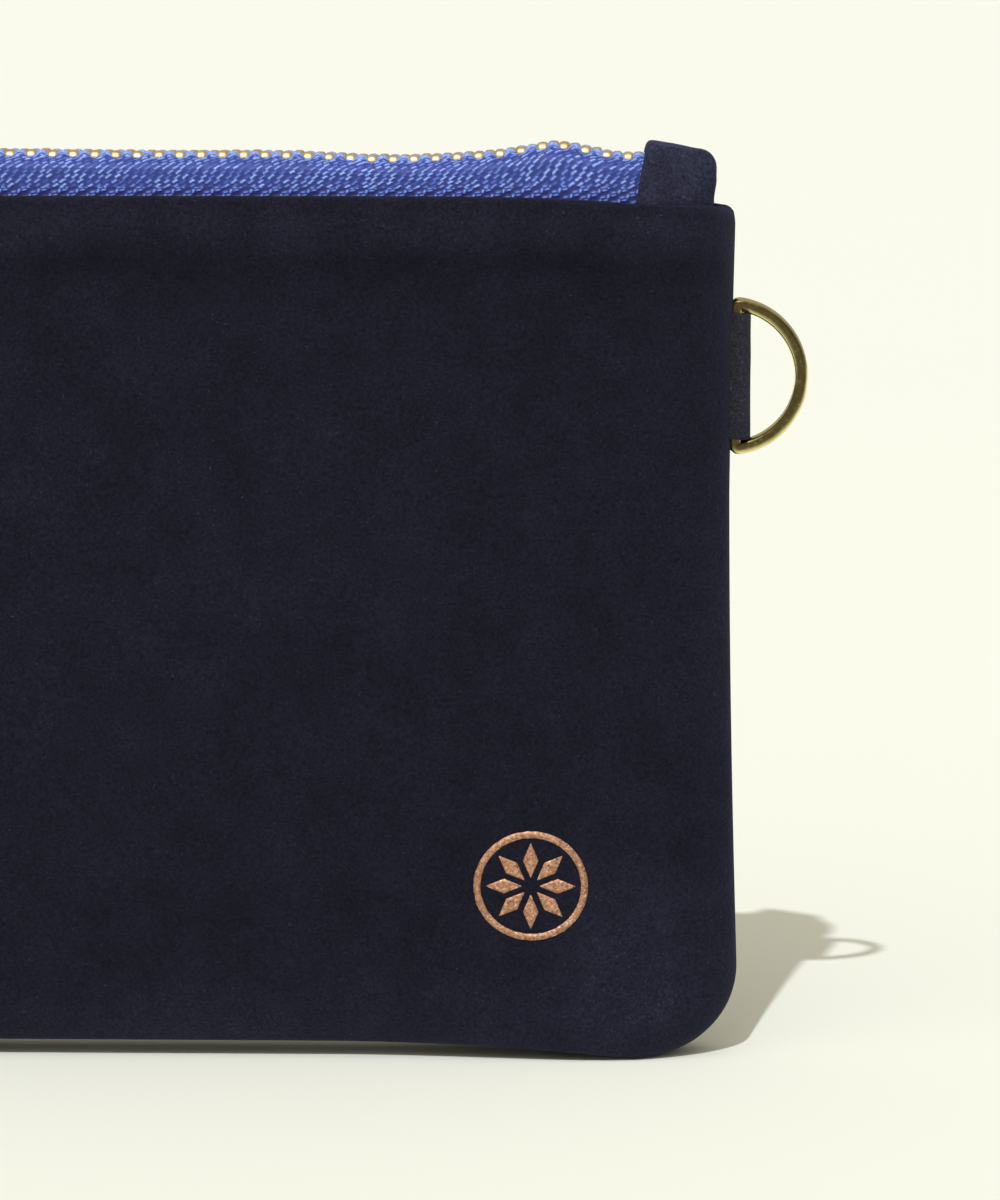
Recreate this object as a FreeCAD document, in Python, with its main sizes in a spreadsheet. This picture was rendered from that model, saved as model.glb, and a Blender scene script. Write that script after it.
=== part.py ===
import FreeCAD, Part
import math
import os
import re

import Sketcher

# A zippered pouch, in millimetres. +Z is up, +X runs along the zip towards its fixed end, and the front
# faces -Y. The origin is on the ground, under the middle of the leather body.

SIZES = {
    "body_width": (150.0, "leather body, side to side"),
    "body_height": (99.5, "leather body, ground to the folded top edge"),
    "corner_radius": (11.0, "lower corners, seen from the front"),
    "side_waist": (0.6, "how far each side draws in at mid height"),
    "foot_half": (3.5, "half depth of the flat foot"),
    "belly_half": (9.0, "half depth at the fullest level"),
    "belly_level": (38.0, "height of the fullest level"),
    "rim_half": (7.77, "half depth at the top edge"),
    "leather": (0.9, "leather thickness"),
    "side_turn": (2.4, "bulk of the turned-in side allowances"),
    "foot_turn": (2.9, "bulk of the turned-in bottom allowances"),
    "hem_depth": (7.5, "leather folded in along the zip"),
    "mouth_half": (5.97, "half width of the mouth, between the hems"),
    "mouth_length": (134.4, "length of the mouth"),
    "lining_cloth": (0.4, "lining thickness"),
    "lining_gap": (0.12, "air between the lining and its neighbours"),
    "lining_top": (98.3, "upper edge of the lining"),
    "chain_level": (104.2, "height of the middle of the closed chain"),
    "tape_thick": (0.5, "zip tape thickness"),
    "tape_length": (134.0, "zip tape length"),
    "tape_flat": (4.5, "where a tape starts to bend down, from the middle"),
    "tape_bend": (1.2, "bend radius at the middle of the tape"),
    "tape_low": (94.0, "lower edge of a tape, inside the hem"),
    "cord_offset": (2.2, "bead cord, from the middle of the chain"),
    "cord_radius": (0.6, "bead cord radius"),
    "fit_gap": (0.02, "room between a clamp and what it holds"),
    "tooth_pitch": (2.44, "teeth of one row, centre to centre"),
    "tooth_count": (50, "teeth in one row"),
    "tooth_first": (-56.9, "first tooth of the front row"),
    "tooth_wide": (1.45, "legs, along the zip"),
    "head_wide": (1.1, "head, along the zip"),
    "tooth_half": (1.3, "half height of a tooth"),
    "tooth_out": (3.1, "outer end of the legs, from the middle"),
    "tooth_neck": (1.0, "where the legs end and the head begins"),
    "tooth_reach": (0.95, "how far a head reaches past the middle"),
    "head_bevel": (0.55, "bevel on the upper and lower edge of a head"),
    "stop_long": (1.8, "top stop, along the zip"),
    "stop_start": (-60.2, "outer end of the top stops"),
    "stop_inside": (1.3, "inner face of a top stop, from the middle"),
    "end_stop_start": (64.95, "inner end of the bottom stop"),
    "slider_rest": (-58.2, "middle of the slider with the zip closed"),
    "slider_length": (10.5, "slider length"),
    "slider_narrow": (3.9, "half width at the closed-chain end"),
    "slider_wide": (4.75, "half width at the shoulders"),
    "slider_swell": (0.3, "how much wider the middle is than the closed-chain end"),
    "slider_bevel": (0.75, "bevel on the corners of the wide end"),
    "slider_plate": (0.9, "slider plate thickness"),
    "slider_channel": (1.45, "half height of the channel"),
    "slider_slot": (0.55, "half height of the slot for the tape"),
    "flange_inside": (3.35, "channel wall, from the middle"),
    "wedge_half": (0.9, "half width of the wedge between the rows"),
    "wedge_tip": (0.4, "half width of the wedge's tip"),
    "wedge_full": (1.6, "length of the wedge at its full width"),
    "wedge_long": (3.2, "length of the wedge"),
    "claw_at": (1.6, "lock claw, from the slider's middle"),
    "claw_thick": (0.3, "lock spring thickness"),
    "claw_wide": (0.5, "lock spring width"),
    "spring_gap": (0.05, "room between the spring and the crown"),
    "pivot_rise": (0.9, "pull pivot above the slider's plate"),
    "crown_long": (6.6, "crown length"),
    "crown_wide": (1.7, "crown width"),
    "crown_rise": (2.6, "crown height above the plate"),
    "crown_wall": (0.8, "crown metal thickness"),
    "crown_round": (1.0, "outer rounding of the crown"),
    "pull_length": (27.0, "pull tab, pivot to tip"),
    "pull_width": (7.0, "pull tab width"),
    "pull_thick": (1.0, "pull tab thickness"),
    "pull_window": (4.0, "length of the window round the crown"),
    "window_room": (0.4, "room beside the crown in that window"),
    "pull_hole": (1.6, "radius of the finger hole"),
    "pull_droop": (0.8, "degrees that the resting pull leans down towards the teeth"),
    "tab_start": (63.7, "inner edge of an end tab"),
    "tab_end": (72.9, "outer edge of an end tab"),
    "tab_top": (106.4, "top of an end tab"),
    "tab_low": (96.2, "lower edge of an end tab, inside the hem"),
    "tab_half": (6.85, "half width of an end tab over the tape"),
    "tab_tip": (2.6, "half width of an end tab at its outer edge"),
    "tab_straight": (2.0, "length of an end tab before it narrows"),
    "tab_inner_round": (0.8, "rounding of its inner top edge"),
    "tab_outer_round": (2.1, "rounding of its outer top edge"),
    "ring_level": (79.4, "height of the middle of the D-ring"),
    "ring_mean": (8.3, "half length of the bar, to the middle of the wire"),
    "bow_depth": (7.6, "from the bar to the far side of the bow, middle of the wire"),
    "ring_wire": (0.78, "wire radius"),
    "bar_offset": (75.1, "straight bar, from the middle of the body"),
    "loop_width": (14.0, "width of the leather loop on the bar"),
    "loop_inside": (72.25, "inner end of the loop, in the side seam"),
    "loop_neck": (72.9, "where the two layers of the loop part"),
    "bar_room": (0.08, "running room round the bar"),
    "swing_room": (0.5, "room in the side edge for the ring's turning ends"),
    "emblem_across": (51.7, "emblem centre, across"),
    "emblem_up": (20.6, "emblem centre, up"),
    "emblem_radius": (6.6, "emblem radius"),
    "foil": (0.08, "foil thickness"),
    "thread_radius": (0.25, "sewing thread radius"),
    "stitch_pitch": (3.0, "stitch pitch"),
    "stitch_long": (2.5, "thread shown by one stitch"),
    "seam_inset": (2.0, "body seam, in from the edge"),
    "seam_top": (91.0, "upper ends of the body seam"),
    "zip_seam_ends": (24.0, "length of the mouth left without visible stitches"),
}

doc = FreeCAD.newDocument("zippered_pouch")
sheet = doc.addObject("Spreadsheet::Sheet", "dims")
for row, (alias, (size, note)) in enumerate(SIZES.items(), 1):
    sheet.set(f"A{row}", alias)
    sheet.set(f"B{row}", str(size))
    sheet.set(f"C{row}", note)
    sheet.setAlias(f"B{row}", alias)
doc.recompute()

X_AXIS = FreeCAD.Vector(1, 0, 0)
Y_AXIS = FreeCAD.Vector(0, 1, 0)
Z_AXIS = FreeCAD.Vector(0, 0, 1)
ALONG_X = FreeCAD.Rotation(Y_AXIS, 90)
ABOUT_Z = FreeCAD.Rotation(Z_AXIS, 180)
OUTLINE_SHARES = [0.0, 0.25, 0.5, 0.7, 0.82, 0.9, 0.95, 0.98, 0.995, 0.999]
SHELL_LEVELS = [0.0, 0.8, 2.5, 5.5, 11.0, 20.0, 38.0, 55.0, 70.0, 80.0, 88.0, 94.0, 99.5]
CAVITY_LEVELS = [4.0, 6.0, 8.5, 12.0, 20.0, 38.0, 55.0, 70.0, 80.0, 86.0]
NECK_LEVELS = [91.0, 94.0]  # where the lining has drawn in under the hem
CLEAR = 5.0  # how far a cutting solid runs past what it cuts
parts = []


# ---- Helpers ---------------------------------------------------------------------------


def cells(text):
    """The expression with every dimension's name pointing at its cell."""
    return re.sub(r"[a-z_]+", lambda word: f"dims.{word[0]}" if word[0] in SIZES else word[0], str(text))


def size(text):
    """The value of an expression of dimension names."""
    return float(sheet.evalExpression(cells(text)))


def part(obj, label):
    """Names a finished sub-part and lists it for export."""
    obj.Label = label
    parts.append(obj)
    return obj


def solid(name, shape):
    """A sub-part or tool whose shape is set directly."""
    obj = doc.addObject("Part::Feature", name)
    obj.Shape = shape
    return obj


def primitive(kind, name, sizes, at, turn=FreeCAD.Rotation()):
    """A Part primitive whose sizes and position are bound to the sheet."""
    obj = doc.addObject(f"Part::{kind}", name)
    obj.Placement = FreeCAD.Placement(FreeCAD.Vector(), turn)
    for prop, text in sizes.items():
        obj.setExpression(prop, cells(text))
    for axis, text in zip("xyz", at):
        obj.setExpression(f"Placement.Base.{axis}", cells(text))
    return obj


def mirrored(source, label, normal):
    """The twin of a sub-part, on the other side of a middle plane."""
    obj = doc.addObject("Part::Mirroring", label)
    obj.Source = source
    obj.Normal = normal
    return part(obj, label)


def sketch_in(body, role, name, offset="0"):
    """An empty sketch on one of the body's own origin planes, moved along its normal."""
    plane = next(item for item in body.Origin.OriginFeatures if item.Role == role)
    drawing = body.newObject("Sketcher::SketchObject", name)
    drawing.AttachmentSupport = [(plane, "")]
    drawing.MapMode = "FlatFace"
    drawing.setExpression("AttachmentOffset.Base.z", cells(offset))
    return drawing


def pin_point(drawing, element, end, across, up):
    """Holds one end of a sketch element at two expressions of dimensions."""
    for kind, text in (("DistanceX", across), ("DistanceY", up)):
        held = drawing.addConstraint(Sketcher.Constraint(kind, -1, 1, element, end, size(text)))
        drawing.setExpression(f"Constraints[{held}]", cells(text))


def arc_between(start, end, radius, side):
    """The short arc between two points, drawn anticlockwise. It bulges to the left of the way from start
    to end for side 1, and to the right for side -1."""
    chord = end - start
    left = FreeCAD.Vector(-chord.y, chord.x, 0).normalize()
    sagitta_gap = math.sqrt(max(radius**2 - chord.Length**2 / 4, 0))
    centre = (start + end) / 2 - left * sagitta_gap * side
    begin, finish = (end, start) if side > 0 else (start, end)
    angles = [math.atan2(point.y - centre.y, point.x - centre.x) for point in (begin, finish)]
    return Part.ArcOfCircle(Part.Circle(centre, Z_AXIS, radius), *angles)


def draw_loop(drawing, points):
    """A closed outline through (across, up) expressions. A third entry, (radius, side), makes the element
    that starts there an arc, which bulges to the left of its travel for side 1 and to the right for -1."""
    corners = [FreeCAD.Vector(size(point[0]), size(point[1]), 0) for point in points]
    for index, point in enumerate(points):
        follower = points[(index + 1) % len(points)]
        start, end = corners[index], corners[(index + 1) % len(points)]
        start_end, far_end = 1, 2
        if len(point) == 3:
            radius, side = point[2]
            element = drawing.addGeometry(arc_between(start, end, size(radius), side), False)
            if side > 0:
                start_end, far_end = 2, 1
            held = drawing.addConstraint(Sketcher.Constraint("Radius", element, size(radius)))
            drawing.setExpression(f"Constraints[{held}]", cells(radius))
        else:
            element = drawing.addGeometry(Part.LineSegment(start, end), False)
        pin_point(drawing, element, start_end, point[0], point[1])
        pin_point(drawing, element, far_end, follower[0], follower[1])


def draw_circle(drawing, across, up, radius):
    """A circle whose centre and radius are bound to the sheet."""
    centre = FreeCAD.Vector(size(across), size(up), 0)
    element = drawing.addGeometry(Part.Circle(centre, Z_AXIS, size(radius)), False)
    pin_point(drawing, element, 3, across, up)
    held = drawing.addConstraint(Sketcher.Constraint("Radius", element, size(radius)))
    drawing.setExpression(f"Constraints[{held}]", cells(radius))


def draw_box(drawing, left, low, right, high):
    """A rectangle between two corners."""
    draw_loop(drawing, [(left, low), (right, low), (right, high), (left, high)])


def pad(body, drawing, length, midplane=True):
    """Adds material along the sketch's normal."""
    feature = body.newObject("PartDesign::Pad", f"{drawing.Name}_pad")
    feature.Profile = drawing
    feature.Midplane = midplane
    feature.setExpression("Length", cells(length))
    return feature


def pocket(body, drawing, length):
    """Removes material on both sides of the sketch."""
    feature = body.newObject("PartDesign::Pocket", f"{drawing.Name}_pocket")
    feature.Profile = drawing
    feature.Midplane = True
    feature.setExpression("Length", cells(length))
    return feature


def repeat(body, features, count, pitch):
    """Repeats features along +X."""
    row = body.newObject("PartDesign::LinearPattern", f"{body.Name}_row")
    row.Originals = features
    row.Direction = (next(item for item in body.Origin.OriginFeatures if item.Role == "X_Axis"), [""])
    row.Mode = "Spacing"
    row.setExpression("Offset", cells(pitch))
    row.setExpression("Occurrences", cells(count))
    body.Tip = row


# ---- The outer form of the body --------------------------------------------------------


def half_width(level, inset=0.0):
    """Half width of the body at a height, with round lower corners and a slight waist. An inset runs parallel
    to the edge, round the corners too."""
    radius = size("corner_radius")
    under = max(radius - level, 0)
    waist = size("side_waist") * math.sin(math.pi * level / size("body_height"))
    return size("body_width") / 2 - radius + math.sqrt((radius - inset) ** 2 - under**2) - waist


def half_depth(level):
    """Half depth of the body at a height, from the flat foot past the belly to the rim."""
    foot, belly, rim, fullest = (size(name) for name in ("foot_half", "belly_half", "rim_half", "belly_level"))
    if level < fullest:
        return foot + (belly - foot) * math.sqrt(1 - (1 - level / fullest) ** 2)
    share = (level - fullest) / (size("body_height") - fullest)
    return rim + (belly - rim) * (1 + math.cos(math.pi * share)) / 2


def squareness(level):
    """How box-like the plan section is: a full lens at the belly, almost a rectangle at the rim."""
    lens, rim_extra, foot_extra, foot_fade = 3.0, 15.0, 5.0, 4.0
    return lens + rim_extra * (level / size("body_height")) ** 8 + foot_extra * math.exp(-level / foot_fade)


def half_section(level, width, depth):
    """The front half of a plan section, closed along the middle plane."""
    power = squareness(level)
    side = [FreeCAD.Vector(width * share, -depth * math.sqrt(1 - share**power), level) for share in OUTLINE_SHARES]
    right_end = FreeCAD.Vector(width, 0, level)
    left_end = FreeCAD.Vector(-width, 0, level)
    left_side = [FreeCAD.Vector(-point.x, point.y, level) for point in side[1:]]
    through = [right_end] + side[:0:-1] + [side[0]] + left_side + [left_end]
    curve = Part.BSplineCurve()
    curve.interpolate(through)
    return Part.Wire([curve.toShape(), Part.LineSegment(left_end, right_end).toShape()])


def half_form(levels, side_inset, face_inset):
    """The front half of the body's form, drawn in from the sides and from the faces."""
    wires = [half_section(z, half_width(z, side_inset), half_depth(z) - face_inset) for z in levels]
    return Part.makeLoft(wires, True, True)


def block(low, high):
    """A plain box between two corners."""
    span = FreeCAD.Vector(*high) - FreeCAD.Vector(*low)
    return Part.makeBox(span.x, span.y, span.z, FreeCAD.Vector(*low))


def prism(outline, low, high):
    """A straight solid on a plan outline."""
    points = [FreeCAD.Vector(x, y, low) for x, y in outline]
    return Part.Face(Part.makePolygon(points + points[:1])).extrude(Z_AXIS * (high - low))


# ---- Leather body and lining -----------------------------------------------------------


def tab_plan(gap):
    """Plan outline of the right end tab, grown by a gap."""
    start, straight_end, end = size("tab_start") - gap, size("tab_start + tab_straight"), size("tab_end") + gap
    wide, tip = size("tab_half") + gap, size("tab_tip") + gap
    return [(start, -wide), (straight_end, -wide), (end, -tip), (end, tip), (straight_end, wide), (start, wide)]


def seam_path(shift):
    """Edges of the body seam's line, from the left end down, along the bottom and up the right side."""
    across = size("body_width / 2 - seam_inset")
    low = size("seam_inset")
    radius = size("corner_radius - seam_inset")
    top = size("seam_top")
    slant = radius * math.sqrt(0.5)
    corners = []
    for side in (-1, 1):
        centre = FreeCAD.Vector(side * (across - radius), shift, low + radius)
        corners.append([
            FreeCAD.Vector(side * across, shift, low + radius),
            centre + FreeCAD.Vector(side * slant, 0, -slant),
            FreeCAD.Vector(side * (across - radius), shift, low),
        ])
    left, right = corners
    return Part.Wire([
        Part.LineSegment(FreeCAD.Vector(-across, shift, top), left[0]).toShape(),
        Part.Arc(*left).toShape(),
        Part.LineSegment(left[2], right[2]).toShape(),
        Part.Arc(*reversed(right)).toShape(),
        Part.LineSegment(right[0], FreeCAD.Vector(across, shift, top)).toShape(),
    ])


def seam_tube(radius):
    """A round tube along the body seam."""
    start = FreeCAD.Vector(-size("body_width / 2 - seam_inset"), 0, size("seam_top"))
    ring = Part.Wire(Part.Circle(start, Z_AXIS, radius).toShape())
    return seam_path(0).makePipeShell([ring], True, True)


def make_panels():
    """Front and back leather panels, with the folded hem, the mouth, and room for tabs, loop and seam."""
    height, half_mouth, half_length = size("body_height"), size("mouth_half"), size("mouth_length / 2")
    hem_low = size("body_height - hem_depth")
    gap = size("fit_gap")
    outside = half_form(SHELL_LEVELS, 0, 0)
    inner_levels = [size("foot_turn")] + CAVITY_LEVELS + [hem_low]
    inside = half_form(inner_levels, size("side_turn"), size("leather"))
    shell = outside.cut(inside)
    shell = shell.cut(block((-half_length, -half_mouth, hem_low - 1), (half_length, CLEAR, height + CLEAR)))
    right_tab = prism(tab_plan(gap), size("tab_low") - gap, height + CLEAR)
    shell = shell.cut(right_tab).cut(right_tab.mirror(FreeCAD.Vector(), X_AXIS))
    loop_half = size("loop_width / 2") + gap
    low, high = size("ring_level") - loop_half, size("ring_level") + loop_half
    fold = size("ring_wire + bar_room + leather") + gap
    flat = size("leather") + gap
    shell = shell.cut(block((size("loop_inside") - gap, -flat, low), (size("bar_offset"), CLEAR, high)))
    shell = shell.cut(block((size("loop_neck") - 0.1, -fold, low), (size("bar_offset + ring_mean"), CLEAR, high)))
    swing_half = size("ring_mean + ring_wire") + gap
    swing_low = FreeCAD.Vector(size("bar_offset"), 0, size("ring_level") - swing_half)
    shell = shell.cut(Part.makeCylinder(size("ring_wire + swing_room"), 2 * swing_half, swing_low))
    shell = shell.cut(seam_tube(size("thread_radius") + gap))
    front = part(solid("front_panel", shell), "front_panel")
    mirrored(front, "back_panel", Y_AXIS)
    return outside


def lining_form(inset, low):
    """The front half of the lining's form, which draws in under the hem to pass inside the tape."""
    neck = size("tape_flat + tape_bend - tape_thick / 2 - lining_gap") - inset
    side = size("side_turn + lining_gap") + inset
    face = size("leather + lining_gap") + inset
    wires = []
    for z in [low] + CAVITY_LEVELS[:-1] + [84.0]:
        wires.append(half_section(z, half_width(z, side), half_depth(z) - face))
    for z in NECK_LEVELS + [size("lining_top")]:
        wires.append(half_section(z, size("mouth_length / 2 - lining_gap") - inset, neck))
    return Part.makeLoft(wires, True, True)


def make_lining():
    """The cloth bag inside, in two halves."""
    cloth = size("lining_cloth")
    low = size("foot_turn + lining_gap")
    shell = lining_form(0, low).cut(lining_form(cloth, low + cloth))
    top = size("lining_top")
    length = size("mouth_length / 2 - lining_gap") - cloth
    neck = size("tape_flat + tape_bend - tape_thick / 2 - lining_gap") - cloth
    shell = shell.cut(block((-length + 2, -neck + 0.3, top - 1), (length - 2, CLEAR, top + 1)))
    front = part(solid("lining_front", shell), "lining_front")
    mirrored(front, "lining_back", Y_AXIS)


def make_seam_thread():
    """The thread of the side and bottom seam."""
    part(solid("body_seam_thread", seam_tube(size("thread_radius"))), "body_seam_thread")


def make_emblem(outside):
    """A generic foil rosette on the front: a ring round eight rhombs."""
    radius = size("emblem_radius")
    ring_width, petal_in, petal_middle, petal_out, petal_wide = 0.8, 0.16, 0.47, 0.78, 0.13
    centre = FreeCAD.Vector(size("emblem_across"), -size("belly_half") - CLEAR, size("emblem_up"))
    pieces = [Part.makeCylinder(radius, 2 * CLEAR, centre, Y_AXIS)]
    pieces[0] = pieces[0].cut(Part.makeCylinder(radius - ring_width, 2 * CLEAR, centre, Y_AXIS))
    for turn in range(8):
        points = []
        angle = math.tau * turn / 8
        rhomb = ((petal_in, 0), (petal_middle, petal_wide), (petal_out, 0), (petal_middle, -petal_wide))
        for reach, across in rhomb:
            x = radius * (reach * math.cos(angle) - across * math.sin(angle))
            z = radius * (reach * math.sin(angle) + across * math.cos(angle))
            points.append(centre + FreeCAD.Vector(x, 0, z))
        pieces.append(Part.Face(Part.makePolygon(points + points[:1])).extrude(Y_AXIS * 2 * CLEAR))
    skin = half_form(SHELL_LEVELS, -size("foil"), -size("foil")).cut(outside)
    part(solid("foil_emblem", Part.makeCompound([skin.common(piece) for piece in pieces])), "foil_emblem")


# ---- Zip: tapes, cords, teeth and stops ------------------------------------------------


def make_tapes():
    """Two woven tapes. Each runs out flat from its bead cord and turns down into the hem."""
    body = doc.addObject("PartDesign::Body", "zipper_tape_front")
    drawing = sketch_in(body, "YZ_Plane", "tape_section")
    edge = "-(cord_offset + cord_radius + fit_gap)"
    top, under = "chain_level + tape_thick / 2", "chain_level - tape_thick / 2"
    centre_up = "chain_level - tape_bend"
    outer, inner = "tape_bend + tape_thick / 2", "tape_bend - tape_thick / 2"
    draw_loop(drawing, [
        (edge, top),
        ("-tape_flat", top, (outer, -1)),
        (f"-tape_flat - ({outer})", centre_up),
        (f"-tape_flat - ({outer})", "tape_low"),
        (f"-tape_flat - ({inner})", "tape_low"),
        (f"-tape_flat - ({inner})", centre_up, (inner, 1)),
        ("-tape_flat", under),
        (edge, under),
    ])
    pad(body, drawing, "tape_length")
    part(body, "zipper_tape_front")
    mirrored(body, "zipper_tape_back", Y_AXIS)


def make_cords():
    """The bead cord along the inner edge of each tape."""
    for label, side in (("bead_cord_front", "-"), ("bead_cord_back", "")):
        cord = primitive(
            "Cylinder", label, {"Radius": "cord_radius", "Height": "tape_length"},
            ("-tape_length / 2", f"{side}cord_offset", "chain_level"), ALONG_X,
        )
        part(cord, label)


def clamp_loop(drawing, near):
    """Section of a clamp on the bead cord: a block from near to the legs' ends, with a hole for the cord
    and a slot for the tape. The section is drawn for the front row, in -Y."""
    hole = "cord_radius + fit_gap"
    slot = "tape_thick / 2 + fit_gap"
    reach = f"sqrt(({hole})^2 - ({slot})^2)"
    high, low = "chain_level + tooth_half", "chain_level - tooth_half"
    slot_top, slot_low = f"chain_level + {slot}", f"chain_level - ({slot})"
    draw_loop(drawing, [
        (near, high),
        ("-tooth_out", high),
        ("-tooth_out", slot_top),
        (f"-cord_offset - {reach}", slot_top, ("cord_radius + fit_gap", 1)),
        ("-cord_offset", f"chain_level + {hole}", ("cord_radius + fit_gap", 1)),
        (f"-cord_offset + {hole}", "chain_level", ("cord_radius + fit_gap", 1)),
        ("-cord_offset", f"chain_level - ({hole})", ("cord_radius + fit_gap", 1)),
        (f"-cord_offset - {reach}", slot_low),
        ("-tooth_out", slot_low),
        ("-tooth_out", low),
        (near, low),
    ])


def make_tooth_row(label, turn, first):
    """One row of separate metal teeth, each clamped on its cord, with its head reaching past the middle."""
    body = doc.addObject("PartDesign::Body", label)
    body.AllowCompound = True
    legs = sketch_in(body, "YZ_Plane", f"{label}_legs")
    clamp_loop(legs, "-tooth_neck")
    legs_pad = pad(body, legs, "tooth_wide")
    head = sketch_in(body, "YZ_Plane", f"{label}_head")
    draw_loop(head, [
        ("-tooth_neck", "chain_level - tooth_half"),
        ("tooth_reach - head_bevel", "chain_level - tooth_half"),
        ("tooth_reach", "chain_level - tooth_half + head_bevel"),
        ("tooth_reach", "chain_level + tooth_half - head_bevel"),
        ("tooth_reach - head_bevel", "chain_level + tooth_half"),
        ("-tooth_neck", "chain_level + tooth_half"),
    ])
    head_pad = pad(body, head, "head_wide")
    repeat(body, [legs_pad, head_pad], "tooth_count", "tooth_pitch")
    body.Placement = FreeCAD.Placement(FreeCAD.Vector(), turn)
    body.setExpression("Placement.Base.x", cells(first))
    part(body, label)


def make_top_stops():
    """Two metal stops that keep the slider on at the closed end, one on each cord."""
    body = doc.addObject("PartDesign::Body", "top_stops")
    body.AllowCompound = True
    drawing = sketch_in(body, "YZ_Plane", "top_stop_section", "stop_start + stop_long / 2")
    clamp_loop(drawing, "-stop_inside")
    feature = pad(body, drawing, "stop_long")
    both = body.newObject("PartDesign::Mirrored", "both_top_stops")
    both.Originals = [feature]
    both.MirrorPlane = (next(item for item in body.Origin.OriginFeatures if item.Role == "XZ_Plane"), [""])
    body.Tip = both
    part(body, "top_stops")


def make_bottom_stop():
    """One metal stop across both cords, hidden under the right end tab."""
    body = doc.addObject("PartDesign::Body", "bottom_stop")
    drawing = sketch_in(body, "YZ_Plane", "bottom_stop_section", "end_stop_start + stop_long / 2")
    clamp_loop(drawing, "0")
    feature = pad(body, drawing, "stop_long")
    both = body.newObject("PartDesign::Mirrored", "whole_bottom_stop")
    both.Originals = [feature]
    both.MirrorPlane = (next(item for item in body.Origin.OriginFeatures if item.Role == "XZ_Plane"), [""])
    body.Tip = both
    part(body, "bottom_stop")


def make_zip_threads():
    """The stitches that hold hem, tape and lining together, along the inside of each half."""
    inside = "(tape_flat + tape_bend - tape_thick / 2 - 2 * lining_gap - lining_cloth - thread_radius)"
    count = int(size("(mouth_length - zip_seam_ends) / stitch_pitch"))
    first = -size("stitch_pitch") * (count - 1) / 2 - size("stitch_long") / 2
    for label, side in (("zip_seam_thread_front", "-"), ("zip_seam_thread_back", "")):
        shift = size(f"{side}{inside}")
        stitches = []
        for index in range(count):
            start = FreeCAD.Vector(first + index * size("stitch_pitch"), shift, size("tape_low") + 2.5)
            stitches.append(Part.makeCylinder(size("thread_radius"), size("stitch_long"), start, X_AXIS))
        part(solid(label, Part.makeCompound(stitches)), label)


# ---- Slider and pull -------------------------------------------------------------------


def slider_outline(drawing):
    """Plan of a slider plate: a narrow closed-chain end, round shoulders and a blunt wide end."""
    draw_loop(drawing, [
        ("slider_length / 2", "-slider_narrow"),
        ("slider_length / 2", "slider_narrow"),
        ("0", "slider_narrow + slider_swell"),
        ("-slider_length / 4", "slider_wide"),
        ("-slider_length / 2 + slider_bevel", "slider_wide"),
        ("-slider_length / 2", "slider_wide - slider_bevel"),
        ("-slider_length / 2", "-(slider_wide - slider_bevel)"),
        ("-slider_length / 2 + slider_bevel", "-slider_wide"),
        ("-slider_length / 4", "-slider_wide"),
        ("0", "-(slider_narrow + slider_swell)"),
    ])


def make_slider_body():
    """Two plates joined by the wedge between the rows, with flanges that hold the chain in."""
    body = doc.addObject("PartDesign::Body", "slider_body")
    outline = sketch_in(body, "XY_Plane", "slider_plan")
    slider_outline(outline)
    pad(body, outline, "2 * (slider_channel + slider_plate)")
    channel = sketch_in(body, "XY_Plane", "slider_channel_plan")
    draw_loop(channel, [
        ("slider_length / 2 + 1", "-flange_inside"),
        ("slider_length / 2 + 1", "flange_inside"),
        ("-slider_length / 2 - 1", "flange_inside"),
        ("-slider_length / 2 - 1", "wedge_half"),
        ("-slider_length / 2 + wedge_full", "wedge_half"),
        ("-slider_length / 2 + wedge_long", "wedge_tip"),
        ("-slider_length / 2 + wedge_long", "-wedge_tip"),
        ("-slider_length / 2 + wedge_full", "-wedge_half"),
        ("-slider_length / 2 - 1", "-wedge_half"),
        ("-slider_length / 2 - 1", "-flange_inside"),
    ])
    pocket(body, channel, "2 * slider_channel")
    slot = sketch_in(body, "XY_Plane", "slider_slot_plan")
    for side in ("", "-"):
        draw_box(slot, "-slider_length", f"{side}flange_inside", "slider_length", f"{side}slider_wide * 1.2")
    pocket(body, slot, "2 * slider_slot")
    claw = sketch_in(body, "XY_Plane", "claw_slot_plan", "slider_channel + slider_plate / 2")
    draw_box(claw, "claw_at - claw_thick", "-claw_wide * 0.6", "claw_at + claw_thick", "claw_wide * 0.6")
    pocket(body, claw, "2 * slider_plate")
    place_on_slider(body, "0")
    part(body, "slider_body")


def place_on_slider(body, rise):
    """Sets a sub-part on the slider's middle, rise above the chain's middle."""
    body.setExpression("Placement.Base.x", cells("slider_rest"))
    body.setExpression("Placement.Base.z", cells(f"chain_level + {rise}"))


def make_slider_crown():
    """The arched cap on the slider that holds the pull tab's bar."""
    body = doc.addObject("PartDesign::Body", "slider_crown")
    arch = sketch_in(body, "XZ_Plane", "crown_side")
    draw_loop(arch, [
        ("-crown_long / 2", "0"),
        ("-crown_long / 2", "crown_rise - crown_round", ("crown_round", 1)),
        ("-crown_long / 2 + crown_round", "crown_rise"),
        ("crown_long / 2 - crown_round", "crown_rise", ("crown_round", 1)),
        ("crown_long / 2", "crown_rise - crown_round"),
        ("crown_long / 2", "0"),
        ("crown_long / 2 - crown_wall", "0"),
        ("crown_long / 2 - crown_wall", "crown_rise - crown_wall"),
        ("-crown_long / 2 + crown_wall", "crown_rise - crown_wall"),
        ("-crown_long / 2 + crown_wall", "0"),
    ])
    pad(body, arch, "crown_wide")
    place_on_slider(body, "slider_channel + slider_plate")
    part(body, "slider_crown")


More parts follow.
